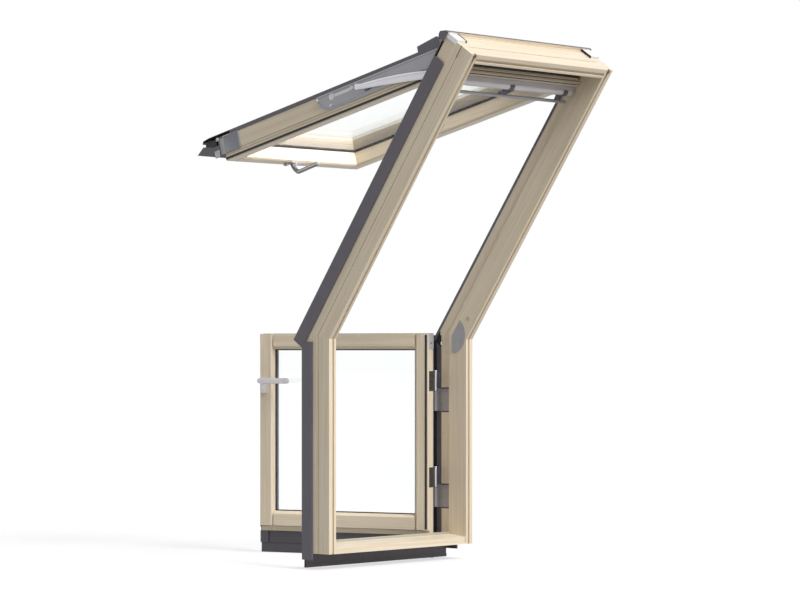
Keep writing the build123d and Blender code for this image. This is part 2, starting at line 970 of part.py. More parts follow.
def grab_rail():
    """Thin round grip below the control bar, on three brackets."""
    slope = sash_top_end - grab_gap
    rod = Pos(0, grab_depth, slope) * Rot(0, 90, 0) * Cylinder(grab_radius, 2 * grab_half)
    bar_low = sash_top_end - control_bar_gap - control_bar_width
    outline = [
        (control_bar_low + control_bar_width / 2, bar_low),
        (control_bar_low + sheet, bar_low + control_bar_width / 3),
        (grab_depth - grab_radius / 2, slope + grab_radius / 2),
        (grab_depth - grab_radius / 2, slope - grab_radius / 2),
        (grab_depth + grab_radius / 2, slope - grab_radius / 2),
    ]
    for x in (-grab_bracket_place, 0, grab_bracket_place):
        rod += side_prism(outline, x - grab_bracket_width / 2, x + grab_bracket_width / 2)
    return rod - control_bar()


def sash_side_cladding():
    """Right folded cladding of the sash, from its side over the top and down to the glass."""
    sight = sash_half - sash_stile_width
    glass_face = sash_glass_depth + glass_thickness
    path = [
        (sash_half + sheet, sash_timber_top - 2 * sheet),
        (sash_half + sheet, sash_top_face),
        (sight + cladding_sight, sash_top_face),
        (sight + cladding_sight, glass_face),
    ]
    start = sash_bottom_end + sash_stile_width - cladding_sight + 2 * sheet
    return plan_prism(sheet_outline(path, sheet), start, sash_hood_low - sheet)


def stile_tops(start):
    """Blocks that stand for the outer part of both sash stiles, up to their timber face."""
    rebate = sash_half - sash_stile_width + glass_cover + glass_clearance
    right = block(rebate, cladding_half, sash_glass_depth, sash_timber_top, start, slope_top)
    return [right, mirrored(right)]


def sash_bottom_cladding():
    """Bottom cladding of the sash, a plate that runs out past the timber to a folded lip."""
    sight = sash_bottom_end + sash_stile_width
    glass_face = sash_glass_depth + glass_thickness
    inner = sash_top_face - sheet
    path = [
        (sash_top_face - plate_lip, plate_lip_start),
        (sash_top_face - plate_lip, plate_end),
        (sash_top_face - plate_fold, plate_end + plate_fold),
        (inner, plate_bend),
        (inner, sight - cladding_sight),
        (glass_face, sight - cladding_sight),
    ]
    plate = side_prism(sheet_outline(path, -sheet), -sash_half - sheet, sash_half + sheet)
    return plate - stile_tops(sash_bottom_end)


def sash_foot():
    """Dark weather profile across the foot of the sash, drawn out to a thin wedge."""
    tip, nose, seat = (
        (sash_top_face - drop, slope) for drop, slope in (foot_tip, foot_nose, foot_seat)
    )
    outline = [
        (foot_heel, sash_bottom_end - sheet),
        tip,
        nose,
        seat,
        (seat[0] + sheet, foot_back),
        (sash_timber_top, foot_back),
        (sash_timber_top, sash_bottom_end),
        (foot_heel, sash_bottom_end),
    ]
    return side_prism(outline, -sash_half - sheet, sash_half + sheet)


def sash_top_cladding():
    """Raised hood over the top end of the sash, with closed ends."""
    glass_face = sash_glass_depth + glass_thickness
    crest = sash_top_face + sash_hood_rise
    path = [
        (glass_face, sash_hood_low),
        (crest, sash_hood_low),
        (crest + sash_hood_slant, sash_hood_high - sash_hood_slant),
        (crest, sash_hood_high),
        (sash_timber_top, sash_hood_high),
    ]
    half = sash_half + sheet
    hood = side_prism(sheet_outline(path, -sheet), -half, half)
    cheek = side_prism([(sash_timber_top, sash_hood_low)] + path[1:], sash_half, half)
    return hood + cheek + mirrored(cheek) - stile_tops(sash_hood_low - sheet)


def corner_casting():
    """Right metal corner shoe around the foot end of the sash stile, with its end cap."""
    x_low, x_high = sash_half, sash_half + casting_depth
    low, high = sash_timber_top - casting_low, sash_timber_top - casting_high
    shoe = block(x_low, x_high, low, high, casting_start, casting_end)
    top = sash_timber_top - end_cap_high
    return shoe + block(x_low + sheet, x_high, low, top, end_cap_start, casting_start)


def arm_cover():
    """Right long housing on the side of the sash that takes the lifting arm."""
    low, high = sash_timber_top - cover_low, sash_timber_top - cover_high
    x_low = sash_half
    tip = sash_top_end - cover_tip_gap
    start = sash_top_end - cover_round_gap
    end = sash_top_end - cover_top_gap
    sides = Polyline((x_low, low, start), (x_low, low, end), (x_low, high, end), (x_low, high, tip))
    mid_drop, mid_gap = cover_round_mid
    middle = (x_low, sash_timber_top - mid_drop, sash_top_end - mid_gap)
    nose = ThreePointArc((x_low, high, tip), middle, (x_low, low, start))
    return extrude(make_face([sides, nose]), amount=cover_depth, dir=(1, 0, 0))


def lifting_arm():
    """Right lifting arm, from a pivot on the sloped jamb up to its slider in the housing."""
    x_low = sash_half + cover_depth
    root = sash_top_end - arm_pivot_gap
    tip = sash_top_end - arm_slider_gap
    middle = sash_top_end - arm_middle_gap
    ends = []
    for depth, slope, radius in (
        (arm_pivot_depth, root, arm_root_radius),
        (arm_slider_depth, tip, arm_tip_radius),
    ):
        side = 1 if slope == root else -1
        ends.append(
            ThreePointArc(
                (x_low, depth + radius, slope),
                (x_low, depth, slope + side * radius),
                (x_low, depth - radius, slope),
            )
        )
    edges = []
    for side, mid_drop in ((1, arm_middle_top), (-1, arm_middle_low)):
        edges.append(
            ThreePointArc(
                (x_low, arm_pivot_depth + side * arm_root_radius, root),
                (x_low, sash_timber_top - mid_drop, middle),
                (x_low, arm_slider_depth + side * arm_tip_radius, tip),
            )
        )
    arm = extrude(make_face(ends + edges), amount=arm_thickness, dir=(1, 0, 0))
    boss = Pos(x_low, arm_pivot_depth, root) * Rot(0, 90, 0) * Cylinder(
        arm_boss_radius, rebate_half - x_low, align=(Align.CENTER, Align.CENTER, Align.MIN)
    )
    return arm + boss


def sash_gasket():
    """Right black weather strip along the side of the sash."""
    low = sash_low_face + side_seal_low
    return block(
        sash_half,
        sash_half + side_seal_thickness,
        low,
        low + side_seal_width,
        sash_bottom_end,
        top_rail_low,
    )


def sash_handle():
    """Plate, sloped neck and long grip on the room face of the bottom rail."""
    start = sash_bottom_end + sash_handle_start
    grip_root = sash_bottom_end + sash_handle_start + grip_start
    y_plate = sash_low_face - sash_handle_plate
    plate = block(
        sash_handle_low,
        sash_handle_high,
        y_plate,
        sash_low_face,
        start,
        start + sash_handle_width,
    )
    low = -grip_depth
    outline = [
        (y_plate, start),
        (low, grip_root),
        (low + grip_rise, sash_bottom_end + grip_end),
        (low + grip_rise + grip_thickness, sash_bottom_end + grip_end),
        (low + grip_thickness, grip_root + grip_neck_low - grip_start),
        (y_plate, start + sash_handle_width),
    ]
    grip = side_prism(outline, grip_low, grip_low + grip_width)
    grip = fillet(grip.edges().filter_by(Axis.X).group_by(Axis.Z)[-1], grip_round)
    return plate + grip


def save(name, shape, place=Pos(0, 0, 0)):
    """Write one named piece where it stands."""
    export_step(sill_middle * place * shape, f"parts/{name}.step")


def save_pair(name, shape, place=Pos(0, 0, 0)):
    """Write a right piece and its mirror image on the left."""
    for side, piece in (("right", shape), ("left", mirrored(shape))):
        save(f"{side}_{name}", piece, place)


def save_both(name, shape, place=Pos(0, 0, 0)):
    """Write a right piece and its mirror image on the left as one node."""
    save(name, Compound([shape, mirrored(shape)]), place)


os.makedirs("parts", exist_ok=True)

save_pair("lower_jamb", lower_jamb())
pocket = block(
    inner_half,
    rebate_half,
    shoulder_depth,
    knee_nose_depth,
    joint_height,
    leaf_top + leaf_side_gap,
)
save_pair("upper_jamb", roof * (upper_jamb() - saw_cut()) - pocket)
save("head", head(), roof)
save("sill", sill())
save("threshold_strip", threshold_strip())
save("right_lower_cladding", lower_cladding(notched=False))
save("left_lower_cladding", mirrored(lower_cladding(notched=True)))
save("hinge_weather_strip", hinge_weather_strip())
save_pair("upper_cladding", upper_cladding(), roof)
save("head_batten", head_batten(), roof)
save("head_hood", head_hood(), roof)
save_both("head_caps", head_cap(), roof)
save("apron_bar", apron_bar())
save_both("knee_covers", knee_cover())
for level, low in (("upper", upper_hinge_low), ("lower", lower_hinge_low)):
    save(f"{level}_hinge_frame_part", frame_hinge(low))
    save(f"{level}_hinge_leaf_part", leaf_hinge(low), leaf_swing)

stile = leaf_stile()
save("leaf_hinge_stile", stile - hinge_seats(), leaf_swing)
save("leaf_free_stile", mirrored(stile), leaf_swing)
save("leaf_top_rail", leaf_rail(leaf_top, -1), leaf_swing)
save("leaf_bottom_rail", leaf_bottom_rail(), leaf_swing)
glass_half = leaf_half - leaf_rail_width + glass_cover
leaf_panes, leaf_spacer = glazing_unit(
    -glass_half,
    glass_half,
    leaf_lip_bottom + leaf_rail_width - glass_cover,
    leaf_top - leaf_rail_width + glass_cover,
    leaf_glass_face,
)
save("leaf_glass", leaf_panes, leaf_swing)
save("leaf_spacer", leaf_spacer, leaf_swing)
save("leaf_gasket", leaf_gasket(), leaf_swing)
save("leaf_cladding", leaf_cladding(), leaf_swing)
save("leaf_drip", leaf_drip(), leaf_swing)
save("leaf_seal", leaf_seal(), leaf_swing)
save("leaf_top_cap", leaf_top_cap(), leaf_swing)
save("handle_plate", handle_plate(), leaf_swing)
save("handle_lever", handle_lever(), leaf_swing)

save_pair("sash_stile", sash_stile(), sash_swing)
save("sash_bottom_rail", sash_bottom_rail(), sash_swing)
save("sash_top_rail", sash_top_rail(), sash_swing)
save("vent_rail", vent_rail(), sash_swing)
save("control_bar", control_bar(), sash_swing)
save("grab_rail", grab_rail(), sash_swing)
sash_glass_half = sash_half - sash_stile_width + glass_cover
sash_panes, sash_spacer = glazing_unit(
    -sash_glass_half,
    sash_glass_half,
    sash_bottom_end + sash_stile_width - glass_cover,
    top_rail_low + glass_cover,
    sash_glass_depth,
)
save("sash_glass", sash_panes, sash_swing)
save("sash_spacer", sash_spacer, sash_swing)
save_pair("sash_cladding", sash_side_cladding(), sash_swing)
save("sash_bottom_cladding", sash_bottom_cladding(), sash_swing)
save("sash_foot", sash_foot(), sash_swing)
save("sash_top_hood", sash_top_cladding(), sash_swing)
save_both("corner_castings", corner_casting(), sash_swing)
save_both("arm_covers", arm_cover(), sash_swing)
save_pair("lifting_arm", lifting_arm(), sash_swing)
save_both("sash_gaskets", sash_gasket(), sash_swing)
save("sash_handle", sash_handle(), sash_swing)
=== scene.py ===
"""Looks of a balcony roof window, dressed around its fixed frame, for Blender 4.5."""
import json
import logging
import math
from contextlib import contextmanager
from dataclasses import dataclass
from enum import Enum
from typing import Callable, ClassVar, Iterator, Sequence

import bmesh
import bpy
from mathutils import Matrix, Vector


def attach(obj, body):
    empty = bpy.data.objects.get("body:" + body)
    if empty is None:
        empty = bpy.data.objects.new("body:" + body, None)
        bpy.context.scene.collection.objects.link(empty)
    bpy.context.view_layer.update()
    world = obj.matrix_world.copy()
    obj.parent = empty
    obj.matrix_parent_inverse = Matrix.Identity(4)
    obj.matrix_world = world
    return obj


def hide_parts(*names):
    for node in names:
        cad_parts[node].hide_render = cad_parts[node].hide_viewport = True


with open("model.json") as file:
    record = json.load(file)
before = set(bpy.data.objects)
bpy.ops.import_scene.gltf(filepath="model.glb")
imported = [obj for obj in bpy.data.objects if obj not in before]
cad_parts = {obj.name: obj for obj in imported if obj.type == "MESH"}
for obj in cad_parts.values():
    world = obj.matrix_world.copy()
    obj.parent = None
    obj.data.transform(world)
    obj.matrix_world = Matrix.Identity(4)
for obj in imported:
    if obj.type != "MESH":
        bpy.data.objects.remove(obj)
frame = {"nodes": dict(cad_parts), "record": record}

LOG = logging.getLogger("balcony_roof_window")
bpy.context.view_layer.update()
Pair = tuple[float, float]
Point = tuple[float, float, float]
Box = tuple[Point, Point]
Pairs = tuple[Pair, ...]
Tree = bpy.types.NodeTree
Socket = bpy.types.NodeSocket
Node = bpy.types.Node


# ---------------------------------------------------------------- frames of the sub-assemblies
# X runs across the window in all of them. On the slope, Y points out of the roof and Z up the
# slope; on the upright part, Y points outdoors and Z up. The leaf is drawn as if it were closed.

ROOM_FACE, KNEE_HEIGHT, PITCH = -0.0935, 1.090, 55.6
HINGE_DEPTH, HINGE_SLOPE, SASH_ANGLE = 0.196, 1.605, 42.0
SASH_LIFT, SASH_SLIDE = 0.020, 0.022
LEAF_PIN, LEAF_ANGLE = Vector((0.514, 0.1265, 0)), 74.8
HINGE_LOWS = (0.706, 0.190)


def turn(degrees: float, axis: str) -> Matrix:
    """Turns by an angle about an axis through the origin."""
    return Matrix.Rotation(math.radians(degrees), 4, axis)


UPRIGHT = Matrix.Translation((0, ROOM_FACE, 0))
ROOF = Matrix.Translation((0, ROOM_FACE, KNEE_HEIGHT)) @ turn(90 - PITCH, "X")
SASH = (
    ROOF
    @ Matrix.Translation((0, HINGE_DEPTH, HINGE_SLOPE))
    @ turn(SASH_ANGLE, "X")
    @ Matrix.Translation((0, SASH_LIFT - HINGE_DEPTH, -SASH_SLIDE - HINGE_SLOPE))
)
LEAF = (
    Matrix.Translation(LEAF_PIN)
    @ turn(-LEAF_ANGLE, "Z")
    @ Matrix.Translation(-LEAF_PIN)
    @ UPRIGHT
)


# ---------------------------------------------------------------- materials

# Inputs of a Map Range node by their place, and the span that most of a noise lies in.
VALUE, FROM_LOW, FROM_HIGH, TO_LOW, TO_HIGH = range(5)
NOISE_SPAN = {FROM_LOW: 0.3, FROM_HIGH: 0.7}


def linear(code: str) -> tuple[float, float, float, float]:
    """Turns an sRGB hex colour to linear.

    Args:
        code: Colour as #RRGGBB.

    Returns:
        Linear red, green and blue, and an alpha of 1.
    """
    parts = [int(code[i:i + 2], 16) / 255 for i in (1, 3, 5)]
    red, green, blue = (
        ((c + 0.055) / 1.055) ** 2.4 if c > 0.04045 else c / 12.92 for c in parts
    )
    return red, green, blue, 1.0


def per_metre(millimetres: float) -> float:
    """Texture scale whose features are about this many millimetres wide."""
    return 1000.0 / millimetres


def add(tree: Tree, kind: str, links: dict | None = None, **settings) -> Node:
    """Adds a node with its settings and links.

    Args:
        tree: Node tree that the node goes in.
        kind: Blender's name of the node type.
        links: Input name or number to an output socket, or to a fixed value.
        **settings: Properties of the node itself.

    Returns:
        The new node.
    """
    node = tree.nodes.new(kind)
    for key, value in settings.items():
        setattr(node, key, value)
    for key, value in (links or {}).items():
        if isinstance(value, Socket):
            tree.links.new(value, node.inputs[key])
        else:
            node.inputs[key].default_value = value
    return node


class Run(Enum):
    """Directions that a member's grain or brushing runs in."""

    ACROSS = (1.0, 0.0, 0.0)
    UPRIGHT = (0.0, 0.0, 1.0)
    ROOF = (0.0, -0.56497, 0.82511)
    SASH = (0.0, 0.97199, -0.23503)
    LEAF = (-0.26219, 0.96502, 0.0)


def laid_along(tree: Tree, run: Run, along_mm: float, across_mm: float) -> Socket:
    """Object coordinates turned so that a run lies along X, and stretched.

    Args:
        tree: Node tree of the material.
        run: Direction of the grain.
        along_mm: Length of a feature along the grain.
        across_mm: Width of a feature across it.

    Returns:
        Vector socket for a texture of scale 1.
    """
    angles = Vector(run.value).rotation_difference(Vector((1, 0, 0))).to_euler()
    place = add(tree, "ShaderNodeTexCoord").outputs["Object"]
    turned = add(tree, "ShaderNodeMapping", {0: place, "Rotation": angles})
    across = per_metre(across_mm)
    return add(tree, "ShaderNodeMapping", {
        0: turned.outputs[0], "Scale": (per_metre(along_mm), across, across),
    }).outputs[0]


def background_rays(tree: Tree) -> Socket:
    """Tells rays of sight, of gloss and through glass from rays of light.

    Args:
        tree: Node tree of the world or the floor.

    Returns:
        Socket that is 1 for the rays that see the background.
    """
    path = add(tree, "ShaderNodeLightPath")
    straight = add(tree, "ShaderNodeMath", {
        0: path.outputs["Is Camera Ray"], 1: path.outputs["Is Transmission Ray"],
    }, operation="MAXIMUM")
    return add(tree, "ShaderNodeMath", {
        0: straight.outputs[0], 1: path.outputs["Is Glossy Ray"],
    }, operation="MAXIMUM").outputs[0]


@dataclass(frozen=True)
class Finish:
    """A finish with a name, whose subclass gives the shader."""

    name: str

    def build(self) -> bpy.types.Material:
        """Makes the node material.

        Returns:
            The material, named like the finish.
        """
        material = bpy.data.materials.new(self.name)
        material.use_nodes = True
        material.node_tree.nodes.clear()
        shader = self.shader(material.node_tree)
        add(material.node_tree, "ShaderNodeOutputMaterial", {0: shader.outputs[0]})
        return material

    def shader(self, tree: Tree) -> Node:
        """The finish's last node before the output."""
        raise NotImplementedError


@dataclass(frozen=True)
class LacqueredPine(Finish):
    """Clear lacquered pine: pale straw with soft darker year rings, satin and even."""

    run: Run
    early: str = "#EADCC4"
    late: str = "#E0CFB4"
    ring_mm: float = 9.0
    ring_length_mm: float = 454.5
    # Real pores are too fine to show, so they are drawn coarser.
    pore_mm: float = 0.9
    pore_length_mm: float = 55.56
    board_mm: float = 142.9
    board_length_mm: float = 1250.0
    late_wood: float = 0.34
    early_wood: float = 0.58

    def shader(self, tree: Tree) -> Node:
        """Colours the rings, shades each board a little and lets the pores sink in.

        Args:
            tree: Node tree of the material.

        Returns:
            The principled shader.
        """
        rings = add(tree, "ShaderNodeTexNoise", {
            0: laid_along(tree, self.run, self.ring_length_mm, self.ring_mm),
            "Scale": 1.0, "Detail": 3.0, "Roughness": 0.55, "Distortion": 0.35,
        })
        pores = add(tree, "ShaderNodeTexNoise", {
            0: laid_along(tree, self.run, self.pore_length_mm, self.pore_mm),
            "Scale": 1.0, "Detail": 2.0,
        })
        boards = add(tree, "ShaderNodeTexNoise", {
            0: laid_along(tree, self.run, self.board_length_mm, self.board_mm),
            "Scale": 1.0, "Detail": 1.0,
        })
        ramp = add(tree, "ShaderNodeValToRGB", {0: rings.outputs[0]})
        stops = ((self.late_wood, self.late), (self.early_wood, self.early))
        for stop, (position, colour) in zip(ramp.color_ramp.elements, stops):
            stop.position, stop.color = position, linear(colour)
        warm = add(tree, "ShaderNodeMapRange", {
            VALUE: boards.outputs[0], FROM_LOW: 0.35, FROM_HIGH: 0.65, TO_LOW: 0.96, TO_HIGH: 1.02,
        })
        fine = add(tree, "ShaderNodeMapRange", {
            VALUE: pores.outputs[0], **NOISE_SPAN, TO_LOW: 0.965, TO_HIGH: 1.0,
        })
        shade = add(tree, "ShaderNodeMath", {
            0: warm.outputs[0], 1: fine.outputs[0],
        }, operation="MULTIPLY")
        colour = add(tree, "ShaderNodeVectorMath", {
            0: ramp.outputs[0], "Scale": shade.outputs[0],
        }, operation="SCALE")
        gloss = add(tree, "ShaderNodeMapRange", {
            VALUE: rings.outputs[0], **NOISE_SPAN, TO_LOW: 0.50, TO_HIGH: 0.40,
        })
        bump = add(tree, "ShaderNodeBump", {
            "Height": pores.outputs[0], "Strength": 0.12, "Distance": 0.0003,
        })
        return add(tree, "ShaderNodeBsdfPrincipled", {
            "Base Color": colour.outputs[0], "Roughness": gloss.outputs[0], "IOR": 1.5,
            "Coat Weight": 0.12, "Coat Roughness": 0.3, "Normal": bump.outputs[0],
        })


@dataclass(frozen=True)
class PlainFinish(Finish):
    """A finish of one colour, a little uneven in tone and sheen, with a fine relief.

    The relief of every such finish is drawn coarser than the real one, which would be too fine
    to show.
    """

    colour: str

    def surface(
        self, tree: Tree, tone: Socket, tones: Pair, gloss: Socket, glosses: Pair,
        relief: dict, **inputs: float,
    ) -> Node:
        """Joins three patterns into one shader.

        Args:
            tree: Node tree of the material.
            tone: Pattern that varies the colour.
            tones: Least and greatest share of the colour.
            gloss: Pattern that varies the roughness.
            glosses: Least and greatest roughness.
            relief: Height, strength and distance of the bump.
            **inputs: Further inputs of the principled shader.

        Returns:
            The principled shader.
        """
        shade = add(tree, "ShaderNodeMapRange", {
            VALUE: tone, **NOISE_SPAN, TO_LOW: tones[0], TO_HIGH: tones[1],
        })
        colour = add(tree, "ShaderNodeVectorMath", {
            0: linear(self.colour)[:3], "Scale": shade.outputs[0],
        }, operation="SCALE")
        rough = add(tree, "ShaderNodeMapRange", {
            VALUE: gloss, **NOISE_SPAN, TO_LOW: glosses[0], TO_HIGH: glosses[1],
        })
        return add(tree, "ShaderNodeBsdfPrincipled", {
            "Base Color": colour.outputs[0], "Roughness": rough.outputs[0], **inputs,
            "Normal": add(tree, "ShaderNodeBump", relief).outputs[0],
        })


@dataclass(frozen=True)
class PowderCoat(PlainFinish):
    """Powder coated metal: even colour, a fine orange peel, and a dull sheen."""

    roughness: float = 0.46
    peel_mm: float = 2.4
    cloud_mm: float = 130.0

    def shader(self, tree: Tree) -> Node:
        """Lays the orange peel over a faint cloudiness.

        Args:
            tree: Node tree of the material.

        Returns:
            The principled shader.
        """
        place = add(tree, "ShaderNodeTexCoord").outputs["Object"]
        peel = add(tree, "ShaderNodeTexNoise", {
            0: place, "Scale": per_metre(self.peel_mm), "Detail": 2.0, "Roughness": 0.5,
        }).outputs[0]
        cloud = add(tree, "ShaderNodeTexNoise", {
            0: place, "Scale": per_metre(self.cloud_mm), "Detail": 3.0, "Roughness": 0.6,
        }).outputs[0]
        return self.surface(
            tree, cloud, (0.93, 1.07), peel, (self.roughness - 0.05, self.roughness + 0.06),
            {"Height": peel, "Strength": 0.16, "Distance": 0.0004}, IOR=1.5,
        )


@dataclass(frozen=True)
class BrushedMetal(PlainFinish):
    """Rolled or brushed bare metal: fine lines along its length and a soft mirror."""

    run: Run = Run.ACROSS
    metallic: float = 1.0
    roughness: float = 0.34
    line_mm: float = 0.8
    line_length_mm: float = 166.7
    haze_mm: float = 71.43

    def shader(self, tree: Tree) -> Node:
        """Draws the lines along the run, over a faint haze.

        Args:
            tree: Node tree of the material.

        Returns:
            The principled shader.
        """
        lines = add(tree, "ShaderNodeTexNoise", {
            0: laid_along(tree, self.run, self.line_length_mm, self.line_mm),
            "Scale": 1.0, "Detail": 2.0,
        }).outputs[0]
        haze = add(tree, "ShaderNodeTexNoise", {
            0: add(tree, "ShaderNodeTexCoord").outputs["Object"],
            "Scale": per_metre(self.haze_mm), "Detail": 3.0,
        }).outputs[0]
        return self.surface(
            tree, lines, (0.93, 1.05), haze, (self.roughness - 0.06, self.roughness + 0.08),
            {"Height": lines, "Strength": 0.08, "Distance": 0.0002}, Metallic=self.metallic,
        )


@dataclass(frozen=True)
class Moulded(PlainFinish):
    """Moulded plastic or extruded rubber: one colour with a fine spark eroded grain."""

    roughness: float = 0.5
    grain_mm: float = 1.2
    wear_mm: float = 45.45

    def shader(self, tree: Tree) -> Node:
        """Lays the grain over a faint unevenness.

        Args:
            tree: Node tree of the material.

        Returns:
            The principled shader.
        """
        place = add(tree, "ShaderNodeTexCoord").outputs["Object"]
        grain = add(tree, "ShaderNodeTexNoise", {
            0: place, "Scale": per_metre(self.grain_mm), "Detail": 3.0, "Roughness": 0.7,
        }).outputs[0]
        wear = add(tree, "ShaderNodeTexNoise", {
            0: place, "Scale": per_metre(self.wear_mm), "Detail": 4.0,
        }).outputs[0]
        return self.surface(
            tree, wear, (0.92, 1.08), wear, (self.roughness - 0.06, self.roughness + 0.06),
            {"Height": grain, "Strength": 0.2, "Distance": 0.0003},
        )


@dataclass(frozen=True)
class FloatGlass(Finish):
    """Clear low iron float glass: smooth, with a trace of green in its thickness."""

    clear: str = "#FFFFFF"
    tint: str = "#FCFFFE"
    cloud_mm: float = 400.0
    ior: float = 1.42

    def shader(self, tree: Tree) -> Node:
        """Lets light through, tinted very faintly.

        Args:
            tree: Node tree of the material.

        Returns:
            The principled shader.
        """
        place = add(tree, "ShaderNodeTexCoord").outputs["Object"]
        cloud = add(tree, "ShaderNodeTexNoise", {0: place, "Scale": per_metre(self.cloud_mm)})
        ramp = add(tree, "ShaderNodeValToRGB", {0: cloud.outputs[0]})
        for stop, colour in zip(ramp.color_ramp.elements, (self.tint, self.clear)):
            stop.color = linear(colour)
        return add(tree, "ShaderNodeBsdfPrincipled", {
            "Base Color": ramp.outputs[0], "Roughness": 0.0, "IOR": self.ior,
            "Transmission Weight": 1.0,
        })


@dataclass(frozen=True)
class PaleFloor(Finish):
    """Matt floor that looks white where no shadow falls, and bounces less light than white."""

    colour: str = "#AAAAAA"
    lift: float = 0.62

    def shader(self, tree: Tree) -> Node:
        """Adds a glow that only the rays of sight see.

        Args:
            tree: Node tree of the material.

        Returns:
            The sum of a diffuse and an emission shader.
        """
        diffuse = add(tree, "ShaderNodeBsdfDiffuse", {0: linear(self.colour)})
        lift = add(tree, "ShaderNodeMath", {
            0: background_rays(tree), 1: self.lift,
        }, operation="MULTIPLY")
        glow = add(tree, "ShaderNodeEmission", {"Strength": lift.outputs[0]})
        return add(tree, "ShaderNodeAddShader", {0: diffuse.outputs[0], 1: glow.outputs[0]})


class Finishes:
    """All finishes of the window, made once and found by name."""

    def __init__(self) -> None:
        """Makes every material."""
        kinds = (
            LacqueredPine("lacquered_pine_upright", Run.UPRIGHT),
            LacqueredPine("lacquered_pine_across", Run.ACROSS),
            LacqueredPine("lacquered_pine_slope", Run.ROOF),
            LacqueredPine("lacquered_pine_sash", Run.SASH),
            LacqueredPine("lacquered_pine_leaf", Run.LEAF),
            # Also painted shade of the notch at the right end of the sill.
            LacqueredPine("pine_plug", Run.ROOF, "#CDBFA6", "#BCAB8E", 5.0),
            LacqueredPine("dark_pine_plug", Run.ROOF, "#6E5A46", "#54422F", 4.0),
            PowderCoat("powder_coated_grey", "#625E66"),
            PowderCoat("powder_coated_casting", "#8E9098", 0.5, 3.0),
            PowderCoat("cast_light_grey", "#C6C6CC", 0.5, 3.0),
            PowderCoat("coated_vent_aluminium", "#B9AB96", 0.5),
            PowderCoat("vent_rail_beige", "#D2C4AE", 0.44),
            BrushedMetal("zinc_plated_steel", "#9C999C", Run.UPRIGHT, 0.4, 0.45),
            BrushedMetal("blackened_steel", "#4A4442", Run.UPRIGHT, 0.3, 0.5),
            BrushedMetal("polished_zinc", "#D4D2D6", Run.UPRIGHT, 0.9, 0.3),
            BrushedMetal("satin_aluminium", "#E8EAEE", Run.ACROSS, 0.3, 0.42),
            BrushedMetal("satin_aluminium_bar", "#CFCDD1", Run.ACROSS, 0.35, 0.4),
            BrushedMetal("satin_steel_rod", "#A2A0A4", Run.ACROSS, 0.35, 0.38),
            BrushedMetal("pressed_aluminium", "#A6A6AB", Run.SASH, 0.3, 0.4),
            BrushedMetal("bright_pressed_arm", "#ECECF0", Run.SASH, 0.35, 0.36),
            BrushedMetal("satin_nickel_handle", "#CBC7CA", Run.LEAF, 0.6, 0.36),
            BrushedMetal("dark_nickel_grip", "#7C7A7C", Run.UPRIGHT, 0.5, 0.4),
            BrushedMetal("anodised_threshold", "#B9B6A8", Run.ACROSS, 0.5, 0.42),
            BrushedMetal("mill_spacer", "#6A6A70", Run.ACROSS, 0.8, 0.5),
            Moulded("moulded_cover_grey", "#A9A9AD", 0.48),
            Moulded("moulded_light_grey", "#B4B4B8", 0.48),
            Moulded("moulded_dark_grey", "#5A5659", 0.5),
            # Brown rubber, and also the painted shade in the vent rail's grooves.
            Moulded("brown_rubber_and_groove_shade", "#3B3634", 0.6, 1.4),
            # Black rubber, and also painted shade where black pieces fill shaded gaps.
            Moulded("black_rubber_and_shade", "#201E22", 0.62, 1.6),
            FloatGlass("clear_float_glass"),
        )
        self.made = {kind.name: kind.build() for kind in kinds}

    def __getitem__(self, name: str) -> bpy.types.Material:
        """The material of that name."""
        return self.made[name]


# A node's own finish, without left_ or right_ in its name, goes before its slot's.
NODE_FINISHES: dict[str, str] = {
    "lower_jamb": "lacquered_pine_upright",
    "upper_jamb": "lacquered_pine_slope",
    "sash_stile": "lacquered_pine_sash",
    "leaf_hinge_stile": "lacquered_pine_upright",
    "leaf_free_stile": "lacquered_pine_upright",
    "leaf_top_rail": "lacquered_pine_leaf",
    "leaf_bottom_rail": "lacquered_pine_leaf",
    "leaf_top_cap": "moulded_light_grey",
    "upper_hinge_leaf_part": "blackened_steel",
    "lower_hinge_leaf_part": "blackened_steel",
}
SLOT_FINISHES: dict[str, str] = {
    "lacquered_pine": "lacquered_pine_across",
    "grey_cladding": "powder_coated_grey",
    "hinge_steel": "zinc_plated_steel",
    "bright_aluminium": "satin_aluminium",
    "satin_metal": "satin_nickel_handle",
    "threshold_aluminium": "anodised_threshold",
    "casting_grey": "powder_coated_casting",
    "cover_plastic": "moulded_cover_grey",
    "vent_aluminium": "coated_vent_aluminium",
    "black_rubber": "black_rubber_and_shade",
    "clear_glass": "clear_float_glass",
    "spacer_metal": "mill_spacer",
}


def dress_nodes(finishes: Finishes) -> None:
    """Gives every CAD node its finish, and lets light through the glass.

    Args:
        finishes: The materials.
    """
    slots = {part["node"]: part["material_slot"] for part in frame["record"]["subparts"]}
    for name, node in frame["nodes"].items():
        plain = name.removeprefix("left_").removeprefix("right_")
        finish = NODE_FINISHES.get(plain, SLOT_FINISHES[slots[name]])
        node.data.materials.clear()
        node.data.materials.append(finishes[finish])
        if slots[name] == "clear_glass":
            node.visible_shadow = False
    LOG.info("%d nodes dressed", len(frame["nodes"]))


# ---------------------------------------------------------------- modelling

X, Y, Z = range(3)
SAME_POINT = 1e-6
Test = Callable[[Vector, Vector], bool]


def facing(axis: int, sign: int = 1) -> Test:
    """Picks the faces that look along an axis.

    Args:
        axis: X, Y or Z.
        sign: 1 or -1 for the way that they look.

    Returns:
        A test of a face's middle and normal.
    """
    return lambda middle, normal: normal[axis] * sign > 0.9


